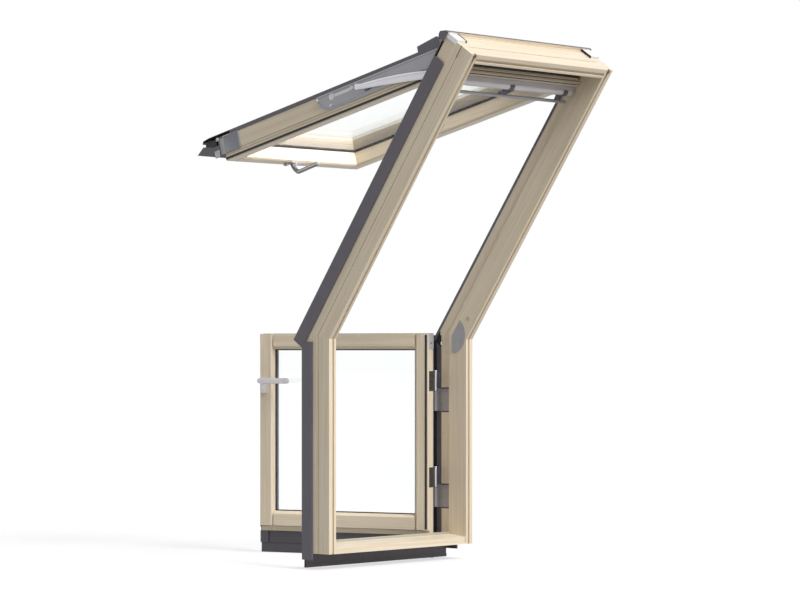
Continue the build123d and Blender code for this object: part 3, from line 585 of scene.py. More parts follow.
@dataclass(frozen=True)
class Arc:
    """A round stretch of an outline, on the circle through three points."""

    start: Pair
    through: Pair
    end: Pair
    steps: int

    def points(self) -> list[Pair]:
        """Works out the points of the stretch.

        Returns:
            The points from start to end, one more than the steps.
        """
        a, b, c = (Vector(point) for point in (self.start, self.through, self.end))
        doubled = 2 * (a.x * (b.y - c.y) + b.x * (c.y - a.y) + c.x * (a.y - b.y))
        aa, bb, cc = a.dot(a), b.dot(b), c.dot(c)
        middle = Vector((
            (aa * (b.y - c.y) + bb * (c.y - a.y) + cc * (a.y - b.y)) / doubled,
            (aa * (c.x - b.x) + bb * (a.x - c.x) + cc * (b.x - a.x)) / doubled,
        ))
        first = a - middle
        begin, to_half, sweep = (math.atan2(v.y, v.x) for v in (first, b - middle, c - middle))
        to_half, sweep = (to_half - begin) % math.tau, (sweep - begin) % math.tau
        if to_half > sweep:
            sweep -= math.tau
        points = []
        for i in range(self.steps + 1):
            cosine, sine = math.cos(sweep * i / self.steps), math.sin(sweep * i / self.steps)
            points.append((
                middle.x + first.x * cosine - first.y * sine,
                middle.y + first.x * sine + first.y * cosine,
            ))
        return points


Outline = tuple[Pair | Arc, ...]


def drawn(outline: Outline) -> list[Pair]:
    """Draws an outline's arcs, and leaves out corners that come twice.

    Args:
        outline: Corners and arcs in order.

    Returns:
        The corners alone.
    """
    corners: list[Pair] = []
    for part in outline:
        for corner in part.points() if isinstance(part, Arc) else (part,):
            if not corners or math.dist(corners[-1], corner) > SAME_POINT:
                corners.append(corner)
    if math.dist(corners[0], corners[-1]) <= SAME_POINT:
        corners.pop()
    return corners


def select_only(item: bpy.types.Object) -> None:
    """Selects one object alone and makes it the active one.

    Args:
        item: The object.
    """
    bpy.ops.object.select_all(action="DESELECT")
    item.select_set(True)
    bpy.context.view_layer.objects.active = item


def apply_place() -> None:
    """Puts the selected objects' place, turn and scale into their meshes."""
    bpy.ops.object.transform_apply(location=True, rotation=True, scale=True)


class Workpiece:
    """A piece under way, shaped with operators in its sub-assembly's own frame."""

    def __init__(self, name: str) -> None:
        """Starts with a name only."""
        self.name = name
        self.item: bpy.types.Object | None = None

    def take(self) -> "Workpiece":
        """Takes the active object as the piece.

        Returns:
            This piece.
        """
        self.item = bpy.context.object
        self.item.name = self.item.data.name = self.name
        return self

    @contextmanager
    def bench(self, mode: str = "FACE", everything: bool = False) -> Iterator[bmesh.types.BMesh]:
        """Edit mode on this piece alone.

        Args:
            mode: What is selected: VERT, EDGE or FACE.
            everything: Whether all of the mesh is selected, or nothing.

        Yields:
            The mesh being edited.
        """
        select_only(self.item)
        bpy.ops.object.mode_set(mode="EDIT")
        bpy.ops.mesh.select_mode(type=mode)
        bpy.ops.mesh.select_all(action="SELECT" if everything else "DESELECT")
        yield bmesh.from_edit_mesh(self.item.data)
        bpy.ops.object.mode_set(mode="OBJECT")

    def pick(self, mesh: bmesh.types.BMesh, test: Test) -> None:
        """Selects the faces that pass a test.

        Args:
            mesh: The mesh being edited.
            test: Test of a face's middle and normal.
        """
        for face in mesh.faces:
            face.select_set(test(face.calc_center_median(), face.normal))
        bmesh.update_edit_mesh(self.item.data)

    def outward(self) -> "Workpiece":
        """Makes the faces point the same way, outwards as far as Blender finds it.

        Returns:
            This piece.
        """
        with self.bench(everything=True):
            bpy.ops.mesh.normals_make_consistent(inside=False)
        return self

    def block(self, low: Point, high: Point) -> "Workpiece":
        """Adds a cube at its size and place.

        Args:
            low: Lowest corner.
            high: Highest corner.

        Returns:
            This piece.
        """
        bpy.ops.object.select_all(action="DESELECT")
        middle = [(a + b) / 2 for a, b in zip(low, high)]
        bpy.ops.mesh.primitive_cube_add(size=1, location=middle)
        bpy.context.object.scale = [b - a for a, b in zip(low, high)]
        apply_place()
        return self.take()

    def trace(self, points: Sequence[Point], closed: bool = True) -> "Workpiece":
        """Draws an outline by pulling one vertex from point to point.

        Args:
            points: Corners of the outline.
            closed: Whether it comes back to its start and is filled.

        Returns:
            This piece.
        """
        bpy.ops.object.select_all(action="DESELECT")
        bpy.ops.mesh.primitive_plane_add(size=0.001, location=points[0])
        apply_place()
        self.take()
        with self.bench("VERT", everything=True):
            bpy.ops.mesh.merge(type="CENTER")
            run = [*points, points[0]] if closed else points
            for before, after in zip(run, run[1:]):
                step = [b - a for a, b in zip(before, after)]
                bpy.ops.mesh.extrude_vertices_move(TRANSFORM_OT_translate={"value": step})
            if closed:
                bpy.ops.mesh.select_all(action="SELECT")
                bpy.ops.mesh.remove_doubles(threshold=SAME_POINT)
                bpy.ops.mesh.select_all(action="SELECT")
                bpy.ops.mesh.edge_face_add()
        return self

    def section(self, outline: Outline, low: float, high: float, axis: int = X) -> "Workpiece":
        """Draws a section across an axis and pulls it along that axis.

        Args:
            outline: Corners and arcs in the plane of the other two axes.
            low: Start along the axis.
            high: End along the axis.
            axis: X, Y or Z.

        Returns:
            This piece.
        """
        corners = [list(corner) for corner in drawn(outline)]
        for corner in corners:
            corner.insert(axis, low)
        self.trace(corners)
        pull = [0.0, 0.0, 0.0]
        pull[axis] = high - low
        with self.bench(everything=True):
            bpy.ops.mesh.extrude_region_move(TRANSFORM_OT_translate={"value": pull})
        return self.outward()

    def turned(
        self, outline: Sequence[Pair], base: Point, axis: int, steps: int = 24
    ) -> "Workpiece":
        """Draws half an outline and spins it round an axis, as on a lathe.

        Args:
            outline: Pairs of the distance along the axis and the radius.
            base: Point on the axis that distances start from.
            axis: X, Y or Z.
            steps: Number of sides.

        Returns:
            This piece.
        """
        rim = list(outline)
        if rim[0][1] > 0 and rim[-1][1] > 0:
            rim.append(rim[0])
        elif rim[0][1] > 0:
            rim.insert(0, (rim[0][0], 0.0))
        elif rim[-1][1] > 0:
            rim.append((rim[-1][0], 0.0))
        points = []
        for along, radius in rim:
            point = list(base)
            point[axis] += along
            point[(axis + 1) % 3] += radius
            points.append(point)
        self.trace(points, closed=False)
        spindle = [float(i == axis) for i in range(3)]
        with self.bench("VERT", everything=True):
            bpy.ops.mesh.spin(steps=steps, angle=math.tau, center=base, axis=spindle)
            bpy.ops.mesh.select_all(action="SELECT")
            bpy.ops.mesh.remove_doubles(threshold=SAME_POINT)
        return self.outward()

    def ring(self, low: Point, high: Point, width: float, axis: int) -> "Workpiece":
        """Makes a block with a window through it, by inset and bridge.

        Args:
            low: Lowest corner.
            high: Highest corner.
            width: Width of the four sides.
            axis: Axis that the window goes through along.

        Returns:
            This piece.
        """
        self.block(low, high)
        with self.bench() as mesh:
            self.pick(mesh, lambda middle, normal: abs(normal[axis]) > 0.9)
            bpy.ops.mesh.inset(thickness=width, use_even_offset=True)
            bpy.ops.mesh.bridge_edge_loops()
        return self.outward()

    def bevel(self, width: float, segments: int = 2, sharp: float = 30.0) -> "Workpiece":
        """Rounds the sharp edges.

        Args:
            width: Width of the rounding.
            segments: Faces across it.
            sharp: Least angle of an edge that is rounded, in degrees.

        Returns:
            This piece.
        """
        with self.bench("EDGE"):
            bpy.ops.mesh.edges_select_sharp(sharpness=math.radians(sharp))
            bpy.ops.mesh.bevel(offset=width, segments=segments, affect="EDGES", clamp_overlap=True)
        return self

    def sink(self, faces: Test, margin: float, depth: float) -> "Workpiece":
        """Insets faces and pushes the middle in or out.

        Args:
            faces: Which faces.
            margin: Width that stays.
            depth: How far out the middle goes, negative for in.

        Returns:
            This piece.
        """
        with self.bench() as mesh:
            self.pick(mesh, faces)
            bpy.ops.mesh.inset(thickness=margin, depth=0.0)
            bpy.ops.mesh.inset(thickness=abs(depth) * 0.5, depth=depth)
        return self

    def copy(self) -> bpy.types.Object:
        """Duplicates the piece, with a mesh of its own, and selects the copy.

        Returns:
            The copy.
        """
        select_only(self.item)
        bpy.ops.object.duplicate()
        return bpy.context.object

    def at(self, *places: Point) -> "Workpiece":
        """Moves the piece by the first place, and adds a copy moved by each other one.

        Args:
            *places: How far each goes.

        Returns:
            This piece.
        """
        copies = [self.copy() for _ in places[1:]]
        for item, place in zip((self.item, *copies), places):
            item.location = place
        if copies:
            self.weld(copies)
        select_only(self.item)
        apply_place()
        return self

    def flip(self) -> "Workpiece":
        """Mirrors the piece to the other side of the window.

        Returns:
            This piece.
        """
        select_only(self.item)
        self.item.scale = (-1, 1, 1)
        apply_place()
        return self.outward()

    def twin(self, name: str) -> "Workpiece":
        """Makes the mirror image as a piece of its own.

        Args:
            name: Name of the new piece.

        Returns:
            The new piece.
        """
        self.copy()
        return Workpiece(name).take().flip()

    def both_sides(self) -> "Workpiece":
        """Adds the mirror image on the other side of the window."""
        return self.add(self.twin("twin")).outward()

    def weld(self, others: Sequence[bpy.types.Object]) -> "Workpiece":
        """Joins other objects to this piece.

        Args:
            others: The objects, which end as part of this one.

        Returns:
            This piece.
        """
        select_only(self.item)
        for item in others:
            item.select_set(True)
        bpy.ops.object.join()
        return self

    def add(self, *others: "Workpiece") -> "Workpiece":
        """Joins other workpieces to this one."""
        return self.weld([other.item for other in others])


@dataclass
class SubAssembly:
    """Pieces that share one frame and one body."""

    finishes: Finishes
    place: ClassVar[Matrix] = Matrix.Identity(4)
    body: ClassVar[str] = "root"

    def fit(
        self, piece: Workpiece, finish: str, slot: str, *nodes: str, smooth: float = 35.0
    ) -> None:
        """Puts a finished piece where it belongs and dresses it.

        Args:
            piece: The piece, in the sub-assembly's own frame.
            finish: Name of its material.
            slot: Material slot of the record; not used.
            *nodes: CAD nodes that it stands for.
            smooth: Angle below which edges are shaded smooth, in degrees.
        """
        item = piece.item
        item.matrix_world = self.place
        select_only(item)
        apply_place()
        bpy.ops.object.shade_smooth_by_angle(angle=math.radians(smooth))
        item.data.materials.clear()
        item.data.materials.append(self.finishes[finish])
        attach(item, self.body)
        if nodes:
            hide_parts(*nodes)
        LOG.info("%s on %s", item.name, self.body)

    def dark(self, piece: Workpiece, smooth: float = 35.0) -> None:
        """Fits a black piece: black rubber, and in some places painted shade in gaps, slots and
        creases.
        """
        self.fit(piece, "black_rubber_and_shade", "black_rubber", smooth=smooth)


# ---------------------------------------------------------------- top end of the sash

@dataclass
class SashTop(SubAssembly):
    """Ventilation rail, control bar and grab rail along the top end of the sash.

    Outlines give the depth out of the roof and the place up the slope.
    """

    half: float = 0.505
    end: float = 1.625
    ridges: Outline = (
        (0.080, 1.591), (0.080, 1.622),
        Arc((0.079, 1.6235), (0.0745, 1.625), (0.070, 1.6235), 6),
        (0.069, 1.616), (0.066, 1.616),
        Arc((0.065, 1.6235), (0.058, 1.625), (0.051, 1.6225), 6),
        (0.050, 1.617), (0.047, 1.617), (0.0455, 1.612), (0.0455, 1.591),
    )
    # The dark brown strips in the two grooves are painted shade.
    groove_shade_inset: float = 0.001
    upper_groove_shade: tuple[Pair, Pair] = ((0.0662, 1.6155), (0.0688, 1.6185))
    lower_groove_shade: tuple[Pair, Pair] = ((0.0465, 1.6155), (0.0497, 1.6182))
    lip: Pairs = ((0, 0.0012), (0.004, 0.0045), (0.012, 0.0028), (0.016, 0.0012))
    lip_starts: tuple[float, ...] = (0.0835, 0.1055, 0.1275)
    seal_span: Pair = (0.081, 0.150)
    seal_sunk: float = 0.0005
    seal_inset: float = 0.002
    bar_half: float = 0.4855
    bar: Outline = (
        (0.080, 1.547), (0.080, 1.587), (0.0435, 1.587), (0.0425, 1.5862), (0.0415, 1.587),
        Arc((0.023, 1.587), (0.003, 1.567), (0.023, 1.547), 14),
    )
    bar_cap: Outline = (
        (0.080, 1.5465), (0.080, 1.5875),
        Arc((0.023, 1.5875), (0.0025, 1.567), (0.023, 1.5465), 14),
    )
    bar_cap_span: Pair = (-0.0005, 0.0015)
    rod_half: float = 0.492
    rod_depth: float = -0.014
    rod_slope: float = 1.518
    rod_end: Pairs = (
        (0, 0), (0.0006, 0.00595), (0.003, 0.0085), (0.045, 0.0085), (0.0455, 0.0079),
        (0.0462, 0.0079), (0.0467, 0.0085),
    )
    bracket_places: tuple[float, ...] = (-0.425, -0.004, 0.425)
    bracket_half: float = 0.020
    bracket: Outline = (
        (0.020, 1.549), (-0.010, 1.5255), (-0.0185, 1.522), (-0.0185, 1.514),
        (-0.009, 1.512), (0.002, 1.520), (0.030, 1.547),
    )
    clip_half: float = 0.016
    clip: Outline = (
        Arc((0.023, 1.5905), (-0.0005, 1.567), (0.023, 1.5435), 12),
        Arc((0.023, 1.5475), (0.0035, 1.567), (0.023, 1.5865), 12),
    )
    flag: Outline = ((-0.006, 1.520), (-0.011, 1.526), (0.002, 1.536), (0.003, 1.532))
    flag_span: Pair = (-0.055, -0.008)
    end_plate: Box = ((0.4465, -0.008, 1.523), (0.4495, 0.024, 1.547))
    place = SASH

    def vent_rail(self) -> None:
        """Two rounded ridges, with dark brown strips in the groove between them and in the one
        below, painted shade of the grooves.
        """
        rail = Workpiece("vent_rail_ridges").section(self.ridges, -self.half, self.half)
        self.fit(rail, "vent_rail_beige", "vent_aluminium", "vent_rail", smooth=28)
        reach = self.half - self.groove_shade_inset
        upper, lower = (
            Workpiece("vent_rail_groove_shades").block((-reach, *low), (reach, *high))
            for low, high in (self.upper_groove_shade, self.lower_groove_shade)
        )
        # Painted shade: dark brown strips in the grooves.
        seams = upper.add(lower).bevel(0.0004, 1)
        self.fit(seams, "brown_rubber_and_groove_shade", "black_rubber")

    def weather_seal(self) -> None:
        """Black lipped seal on the end of the top rail, above the ridges."""
        lips = [
            (start + along, self.end + out) for start in self.lip_starts for along, out in self.lip
        ]
        low, high = self.seal_span
        back = self.end - self.seal_sunk
        outline = ((low, back), *lips, (high, self.end + self.lip[0][1]), (high, back))
        reach = self.half - self.seal_inset
        self.dark(Workpiece("top_weather_seal").section(outline, -reach, reach))

    def control_bar(self) -> None:
        """Rounded bar with a seam along its face and a cap at each end."""
        bar = Workpiece("control_bar_profile").section(self.bar, -self.bar_half, self.bar_half)
        self.fit(bar, "satin_aluminium_bar", "bright_aluminium", "control_bar", smooth=25)
        low, high = (self.bar_half + out for out in self.bar_cap_span)
        cap = Workpiece("control_bar_caps").section(self.bar_cap, low, high).bevel(0.0004, 1)
        self.fit(cap.both_sides(), "moulded_cover_grey", "cover_plastic")

    def grab_rail(self) -> None:
        """Round grip with soft ends, on a middle bracket and two end brackets."""
        length = 2 * self.rod_half
        far_end = [(length - along, radius) for along, radius in reversed(self.rod_end)]
        start = (-self.rod_half, self.rod_depth, self.rod_slope)
        rod = Workpiece("grab_rail_rod").turned([*self.rod_end, *far_end], start, X, 20)
        self.fit(rod, "satin_steel_rod", "bright_aluminium", "grab_rail", smooth=45)
        bracket = Workpiece("grab_rail_block").section(
            self.bracket, -self.bracket_half, self.bracket_half
        )
        bracket.add(Workpiece("clip").section(self.clip, -self.clip_half, self.clip_half))
        bracket.at(*((x, 0, 0) for x in self.bracket_places))
        flag = Workpiece("flag").section(self.flag, *self.flag_span)
        self.fit(bracket.add(flag).bevel(0.0012), "moulded_dark_grey", "casting_grey")
        plates = Workpiece("grab_rail_end_plates").block(*self.end_plate).bevel(0.0008, 1)
        self.fit(plates.both_sides(), "satin_aluminium_bar", "bright_aluminium")

    def build(self) -> None:
        """Makes the whole top end."""
        self.vent_rail()
        self.weather_seal()
        self.control_bar()
        self.grab_rail()


# ---------------------------------------------------------------- sides of the sash

@dataclass
class SashSides(SubAssembly):
    """Arm housings, lifting arms and corner shoes on both sides of the sash.

    Outlines give the depth and the slope, as on the top end, and those of round fittings the
    distance out of the side and the radius.
    """

    side: float = 0.505
    cover: float = 0.511
    shell: Outline = (
        Arc((0.105, 0.801), (0.130, 0.742), (0.182, 0.720), 8), (0.182, 1.585), (0.105, 1.585),
    )
    disc: Pairs = (
        (0, 0.018), (0.0014, 0.018), (0.002, 0.0172), (0.002, 0.012), (0.001, 0.0112), (0.001, 0),
    )
    disc_place: Point = (0.5098, 0.158, 0.824)
    ear: Pairs = (
        (0, 0.011), (0.003, 0.011), (0.0042, 0.0095), (0.0042, 0.005), (0.0022, 0.0042),
        (0.0022, 0),
    )
    ear_place: Point = (0.5096, 0.161, 0.966)
    strap: Box = ((0.5097, 0.150, 0.845), (0.5116, 0.166, 0.955))
    rivet_sunk: float = 0.0013
    rivets: tuple[Point, ...] = (
        (0.168, 0.7265, 0.0075), (0.1165, 0.806, 0.0055), (0.119, 0.818, 0.003),
    )
    slot: Box = ((0.5097, 0.1195, 1.047), (0.5112, 0.1245, 1.089))
    lower_edge: Box = ((0.505, 0.1015, 0.800), (0.510, 0.1052, 0.900))
    root: Pair = (0.051, 1.574)
    root_radius: float = 0.013
    tip: Pair = (0.152, 0.996)
    tip_radius: float = 0.0065
    crown: tuple[Pair, Pair] = ((0.1385, 1.215), (0.108, 1.215))
    arm_thickness: float = 0.005
    bolt: Pairs = (
        (-0.004, 0.009), (0.0045, 0.009), (0.0045, 0.0125), (0.0075, 0.0115), (0.0078, 0.005),
        (0.0062, 0.0045), (0.0062, 0),
    )
    pin: Pairs = ((0.013, 0), (0.013, 0.0082), (0.008, 0.009), (-0.0002, 0.009))
    slider: Pairs = (
        (0.0038, 0.006), (0.0066, 0.006), (0.0074, 0.005), (0.0074, 0.002), (0.0066, 0),
    )
    shoe: Box = ((0.505, 0.088, 0.0285), (0.511, 0.182, 0.141))
    shoe_seam: Box = ((0.506, 0.0885, 0.0258), (0.5116, 0.1815, 0.0287))
    end_cap: Box = ((0.506, 0.088, -0.002), (0.511, 0.175, 0.0258))
    boss: Box = ((0.510, 0.094, 0.004), (0.5128, 0.108, 0.019))
    knob: Pairs = (
        (0, 0.0095), (0.005, 0.0095), (0.007, 0.0078), (0.0075, 0.003), (0.0075, 0),
    )
    knob_place: Point = (0.506, 0.1765, -0.0165)
    ridge: Box = ((0.503, 0.083, -0.051), (0.511, 0.120, -0.016))
    place = SASH

    def housing(self) -> None:
        """Long pressed housing with a rounded end, a sunk field and its fittings."""
        shell = Workpiece("arm_housing").section(self.shell, self.side, self.cover)
        shell.bevel(0.0016).sink(facing(X), 0.006, -0.0012).both_sides()
        self.fit(shell, "pressed_aluminium", "bright_aluminium", "arm_covers", smooth=30)
        disc = Workpiece("arm_housing_fittings").turned(self.disc, self.disc_place, X, 28)
        ear = Workpiece("ear").turned(self.ear, self.ear_place, X, 20)
        strap = Workpiece("strap").block(*self.strap).bevel(0.0008, 1)
        fittings = disc.add(ear, strap).both_sides()
        self.fit(fittings, "satin_aluminium_bar", "bright_aluminium")
        rivets = []
        for depth, slope, size in self.rivets:
            outline = (
                (0, size), (0.0022, size), (0.0034, size * 0.75), (0.0038, size * 0.3), (0.0038, 0),
            )
            rivets.append(Workpiece("arm_housing_clips").turned(
                outline, (self.cover - self.rivet_sunk, depth, slope), X, 16
            ))
        first, *others = rivets
        self.fit(first.add(*others).both_sides(), "polished_zinc", "bright_aluminium")
        slot = Workpiece("arm_housing_slots").block(*self.slot)
        edge = Workpiece("edge").block(*self.lower_edge)
        self.dark(slot.add(edge).bevel(0.0006, 1).both_sides())

    def arm(self) -> None:
        """Pressed steel arm with rounded ends, its pivot bolt and its slider, on each side."""
        (root, far), (tip, near) = self.root, self.tip
        wide, narrow = self.root_radius, self.tip_radius
        above, below = self.crown
        outline = (
            Arc((root + wide, far), above, (tip + narrow, near), 14),
            Arc((tip + narrow, near), (tip, near - narrow), (tip - narrow, near), 6),
            Arc((tip - narrow, near), below, (root - wide, far), 14),
            Arc((root - wide, far), (root, far + wide), (root + wide, far), 6),
        )
        right = Workpiece("right_lifting_arm_pressing").section(
            outline, self.cover, self.cover + self.arm_thickness
        )
        right.bevel(0.0011).sink(facing(X), 0.0045, -0.0011)
        pivot = (self.cover, *self.root)
        bolt = Workpiece("bolt").turned(self.bolt, pivot, X, 24)
        pin = Workpiece("pin").turned(self.pin, pivot, X, 18)
        slider = Workpiece("slider").turned(self.slider, (self.cover, *self.tip), X, 20)
        left = right.add(bolt, pin, slider).outward().twin("left_lifting_arm_pressing")
        for arm, node in ((right, "right_lifting_arm"), (left, "left_lifting_arm")):
            self.fit(arm, "bright_pressed_arm", "bright_aluminium", node, smooth=30)

    def corner_shoe(self) -> None:
        """Cast shoe with a light seam, a darker end cap, a knob and a ridge under the foot."""
        shoe = Workpiece("corner_shoes").block(*self.shoe).bevel(0.0015)
        shoe.sink(facing(X), 0.004, -0.0008).both_sides()
        self.fit(shoe, "powder_coated_casting", "casting_grey", "corner_castings")
        seam = Workpiece("corner_shoe_seams").block(*self.shoe_seam).bevel(0.0006, 1)
        self.fit(seam.both_sides(), "vent_rail_beige", "casting_grey")
        cap = Workpiece("end_caps").block(*self.end_cap).bevel(0.0015)
        boss = Workpiece("boss").block(*self.boss).bevel(0.001, 1).sink(facing(X), 0.002, -0.0008)
        self.fit(cap.add(boss).both_sides(), "moulded_cover_grey", "casting_grey")
        knob = Workpiece("foot_knobs").turned(self.knob, self.knob_place, X, 18)
        ridge = Workpiece("ridge").block(*self.ridge).bevel(0.002).sink(facing(X), 0.004, 0.0008)
        self.fit(knob.add(ridge).both_sides(), "cast_light_grey", "casting_grey")

    def build(self) -> None:
        """Makes both sides."""
        self.housing()
        self.arm()
        self.corner_shoe()


# ---------------------------------------------------------------- foot of the sash

@dataclass
class SashFoot(SubAssembly):
    """Black strip that paints the shade in the gap between the bottom plate and the foot, glazing
    seal and handle at the foot of the sash.
    """

    gap_shade_half: float = 0.5025
    # Outline of the black strip that is painted shade in the gap between the bottom plate and the
    # foot.
    strip: Outline = (
        (0.160, -0.116), (0.139, -0.049), (0.139, -0.033), (0.183, -0.033), (0.183, -0.112),
    )
    seal: Box = ((-0.4395, 0.1262, 0.0865), (0.4395, 0.1318, 1.5325))
    seal_width: float = 0.0065
    base: Box = ((-0.068, 0.0445, 0.037), (0.030, 0.051, 0.084))
    tip: Pairs = (
        (0, 0), (0, 0.0085), (0.004, 0.0098), (0.011, 0.0098), (0.0145, 0.0075), (0.0145, 0),
    )
    tip_place: Point = (-0.057, -0.0055, 0.2425)
    side_block: Box = ((-0.088, 0.039, 0.032), (-0.068, 0.051, 0.058))
    neck: Outline = (
        Arc((0.045, 0.060), (0.008, 0.071), (-0.0225, 0.101), 8),
        Arc((-0.002, 0.113), (0.014, 0.0905), (0.045, 0.079), 8),
    )
    neck_span: Pair = (-0.0655, -0.0485)
    grip: Outline = ((-0.0225, 0.097), (-0.0175, 0.245), (0.0035, 0.245), (-0.0025, 0.097))
    grip_span: Pair = (-0.066, -0.048)
    inlay: Outline = ((-0.0145, 0.101), (-0.0095, 0.243), (-0.0035, 0.243), (-0.0085, 0.101))
    inlay_span: Pair = (-0.0668, -0.0472)
    pin: Pairs = ((0, 0), (0, 0.003), (0.042, 0.003), (0.042, 0))
    pin_place: Point = (-0.042, 0.004, 0.080)
    place = SASH

    def seals(self) -> None:
        """Black strip that paints the shade in the gap between the bottom plate and the foot, and
        the seal round the glass.
        """
        # Painted shade: a black strip filling the gap.
        strip = Workpiece("foot_gap_shade").section(self.strip, -self.gap_shade_half, self.gap_shade_half)
        self.dark(strip.bevel(0.0012, 1))
        seal = Workpiece("sash_glazing_seal").ring(*self.seal, self.seal_width, Y)
        self.dark(seal.bevel(0.001, 1))

    def handle(self) -> None:
        """Base plate with a side block, a curved neck, a two tone grip and a light end."""
        plate = Workpiece("sash_handle_plate").block(*self.base)
        plate.bevel(0.002, 3).sink(facing(Y, -1), 0.003, 0.0008)
        end = Workpiece("end").turned(self.tip, self.tip_place, Z, 24)
        self.fit(plate.add(end), "satin_nickel_handle", "satin_metal", "sash_handle")
        side = Workpiece("sash_handle_block").block(*self.side_block).bevel(0.002)
        self.fit(side, "moulded_cover_grey", "cover_plastic")
        neck = Workpiece("sash_handle_neck").section(self.neck, *self.neck_span).bevel(0.002)
        grip = Workpiece("grip").section(self.grip, *self.grip_span).bevel(0.0045, 3)
        self.fit(neck.add(grip), "dark_nickel_grip", "satin_metal", smooth=45)
        inlay = Workpiece("sash_handle_inlay").section(self.inlay, *self.inlay_span)
        pin = Workpiece("pin").turned(self.pin, self.pin_place, Y, 12)
        self.fit(inlay.bevel(0.0006, 1).add(pin), "satin_nickel_handle", "satin_metal")

    def build(self) -> None:
        """Makes the foot's pieces."""
        self.seals()
        self.handle()


# ---------------------------------------------------------------- door leaf

@dataclass
class LeafFurniture(SubAssembly):
    """Handle plate, latch plates, hinge leaves and caps on the door leaf.

    Outlines of round fittings give the distance along their axis and the radius.
    """

    back_plate: Box = ((-0.503, 0.1205, 0.795), (-0.470, 0.128, 0.886))
    plate_screw: Pairs = (
        (0.0008, 0), (0.0008, 0.0016), (-0.0006, 0.0022), (-0.0012, 0.0036), (0, 0.0046),
    )
    plate_screw_places: tuple[Point, Point] = ((-0.4865, 0.1202, 0.805), (-0.4865, 0.1202, 0.825))
    free_edge: float = -0.514
    latches: Pairs = ((0.300, 0.060), (0.620, 0.230), (0.960, 0.060))
    latch_plate: tuple[Pair, Pair] = ((-0.0012, 0.146), (0.001, 0.164))
    latch_bolt: tuple[Pair, Pair] = ((-0.003, 0.150), (-0.001, 0.160))
    latch_bolt_half: float = 0.012
    latch_screw: Pairs = ((0, 0.0042), (-0.0007, 0.0036), (-0.0007, 0.001), (0, 0))
    latch_screw_inset: float = 0.008
    knuckle_rise: float = 0.106
    hinge_screw: Pairs = (
        (-0.0002, 0.0046), (0.0008, 0.004), (0.0012, 0.0022), (0.0004, 0.0018), (0.0004, 0),
    )
    hinge_screw_rises: tuple[float, ...] = (0.018, 0.054, 0.090)
    hinge_screw_depths: Pair = (0.152, 0.176)
    hinge_screw_face: float = 0.5138
    knuckle: Pair = (0.514, 0.220)
    sleeve: Pairs = (
        (0.0015, 0.0088), (0.0015, 0.0096), (0.0025, 0.01), (0.052, 0.01), (0.0525, 0.0096),
        (0.0535, 0.0096), (0.054, 0.01), (0.1055, 0.01), (0.1065, 0.0096), (0.1065, 0.0088),
    )
    sleeve_cap: Pairs = (
        (0, 0.009), (0.0012, 0.009), (0.003, 0.0078), (0.0036, 0.0041), (0, 0.0041),
    )
    sleeve_cap_rise: float = 0.108
    # The slot in the top cap and the line above the bottom rail are painted shade; the drip's joint
    # is a dark joint.
    shade_and_joint_lines: tuple[Box, ...] = (
        ((0.5166, 0.150, 1.068), (0.5176, 0.172, 1.073)),
        ((-0.5486, 0.1945, -0.026), (-0.5476, 0.2005, 0.034)),
        ((-0.512, 0.1268, 0.0665), (0.485, 0.1282, 0.0685)),
    )
    place = LEAF
    body = "leaf"

    def plate(self) -> None:
        """Long rounded plate with two screws, behind the lever."""
        plate = Workpiece("handle_backplate").block(*self.back_plate)
        with plate.bench() as mesh:
            for edge in mesh.edges:
                run = (edge.verts[0].co - edge.verts[1].co).normalized()
                edge.select_set(abs(run.y) > 0.9)
            bmesh.update_edit_mesh(plate.item.data)
            bpy.ops.mesh.bevel(offset=0.008, segments=5, affect="EDGES")
        plate.bevel(0.0014, 2, 60)
        screws = Workpiece("screw").turned(self.plate_screw, (0, 0, 0), Y, 16)
        screws.at(*self.plate_screw_places)
        self.fit(plate.add(screws), "satin_nickel_handle", "satin_metal", "handle_plate")

    def latch_plates(self) -> None:
        """Lock face and two latch plates let into the free edge of the leaf."""
        parts = []
        for middle, length in self.latches:
            for (low, high), half, edge in (
                (self.latch_plate, length / 2, 0.0008),
                (self.latch_bolt, self.latch_bolt_half, 0.0009),
            ):
                parts.append(Workpiece("latch_plates").block(
                    (self.free_edge + low[0], low[1], middle - half),
                    (self.free_edge + high[0], high[1], middle + half),
                ).bevel(edge))
        screw_rows = [
            (self.free_edge - 0.0011, 0.155, middle + sign * (length / 2 - self.latch_screw_inset))
            for middle, length in self.latches for sign in (-1, 1)
        ]
        screws = Workpiece("screw").turned(self.latch_screw, (0, 0, 0), X, 14).at(*screw_rows)
        first, *others = parts
        self.fit(first.add(*others, screws), "zinc_plated_steel", "hinge_steel")

    def hinge_leaves(self) -> None:
        """Screws in the leaf's hinge plates and bright sleeves on their knuckles."""
        starts = [low + self.knuckle_rise for low in HINGE_LOWS]
        screws = Workpiece("leaf_hinge_screws").turned(self.hinge_screw, (0, 0, 0), X, 14)
        screws.at(*(
            (self.hinge_screw_face, depth, start + rise)
            for start in starts for rise in self.hinge_screw_rises
            for depth in self.hinge_screw_depths
        ))
        self.fit(screws, "blackened_steel", "hinge_steel")
        sleeve = Workpiece("leaf_hinge_sleeves").turned(self.sleeve, (*self.knuckle, 0), Z, 32)
        cap = Workpiece("cap").turned(
            self.sleeve_cap, (*self.knuckle, self.sleeve_cap_rise), Z, 24
        )
        sleeve.add(cap).at(*((0, 0, start) for start in starts))
        self.fit(sleeve, "polished_zinc", "hinge_steel")

    def trims(self) -> None:
        """Black slivers: painted shade in the slot of the top cap and at the step above the bottom
        rail's lip, and the dark joint of the drip.
        """
        # Painted shade in the cap's slot and at the rail's step, and the drip's dark joint.
        slot, drip, line = (Workpiece("leaf_shade_lines_and_drip_joint").block(*box) for box in self.shade_and_joint_lines)
        self.dark(slot.add(drip, line).bevel(0.0003, 1))

    def build(self) -> None:
        """Makes the leaf's pieces."""
        self.plate()
        self.latch_plates()
        self.hinge_leaves()
        self.trims()


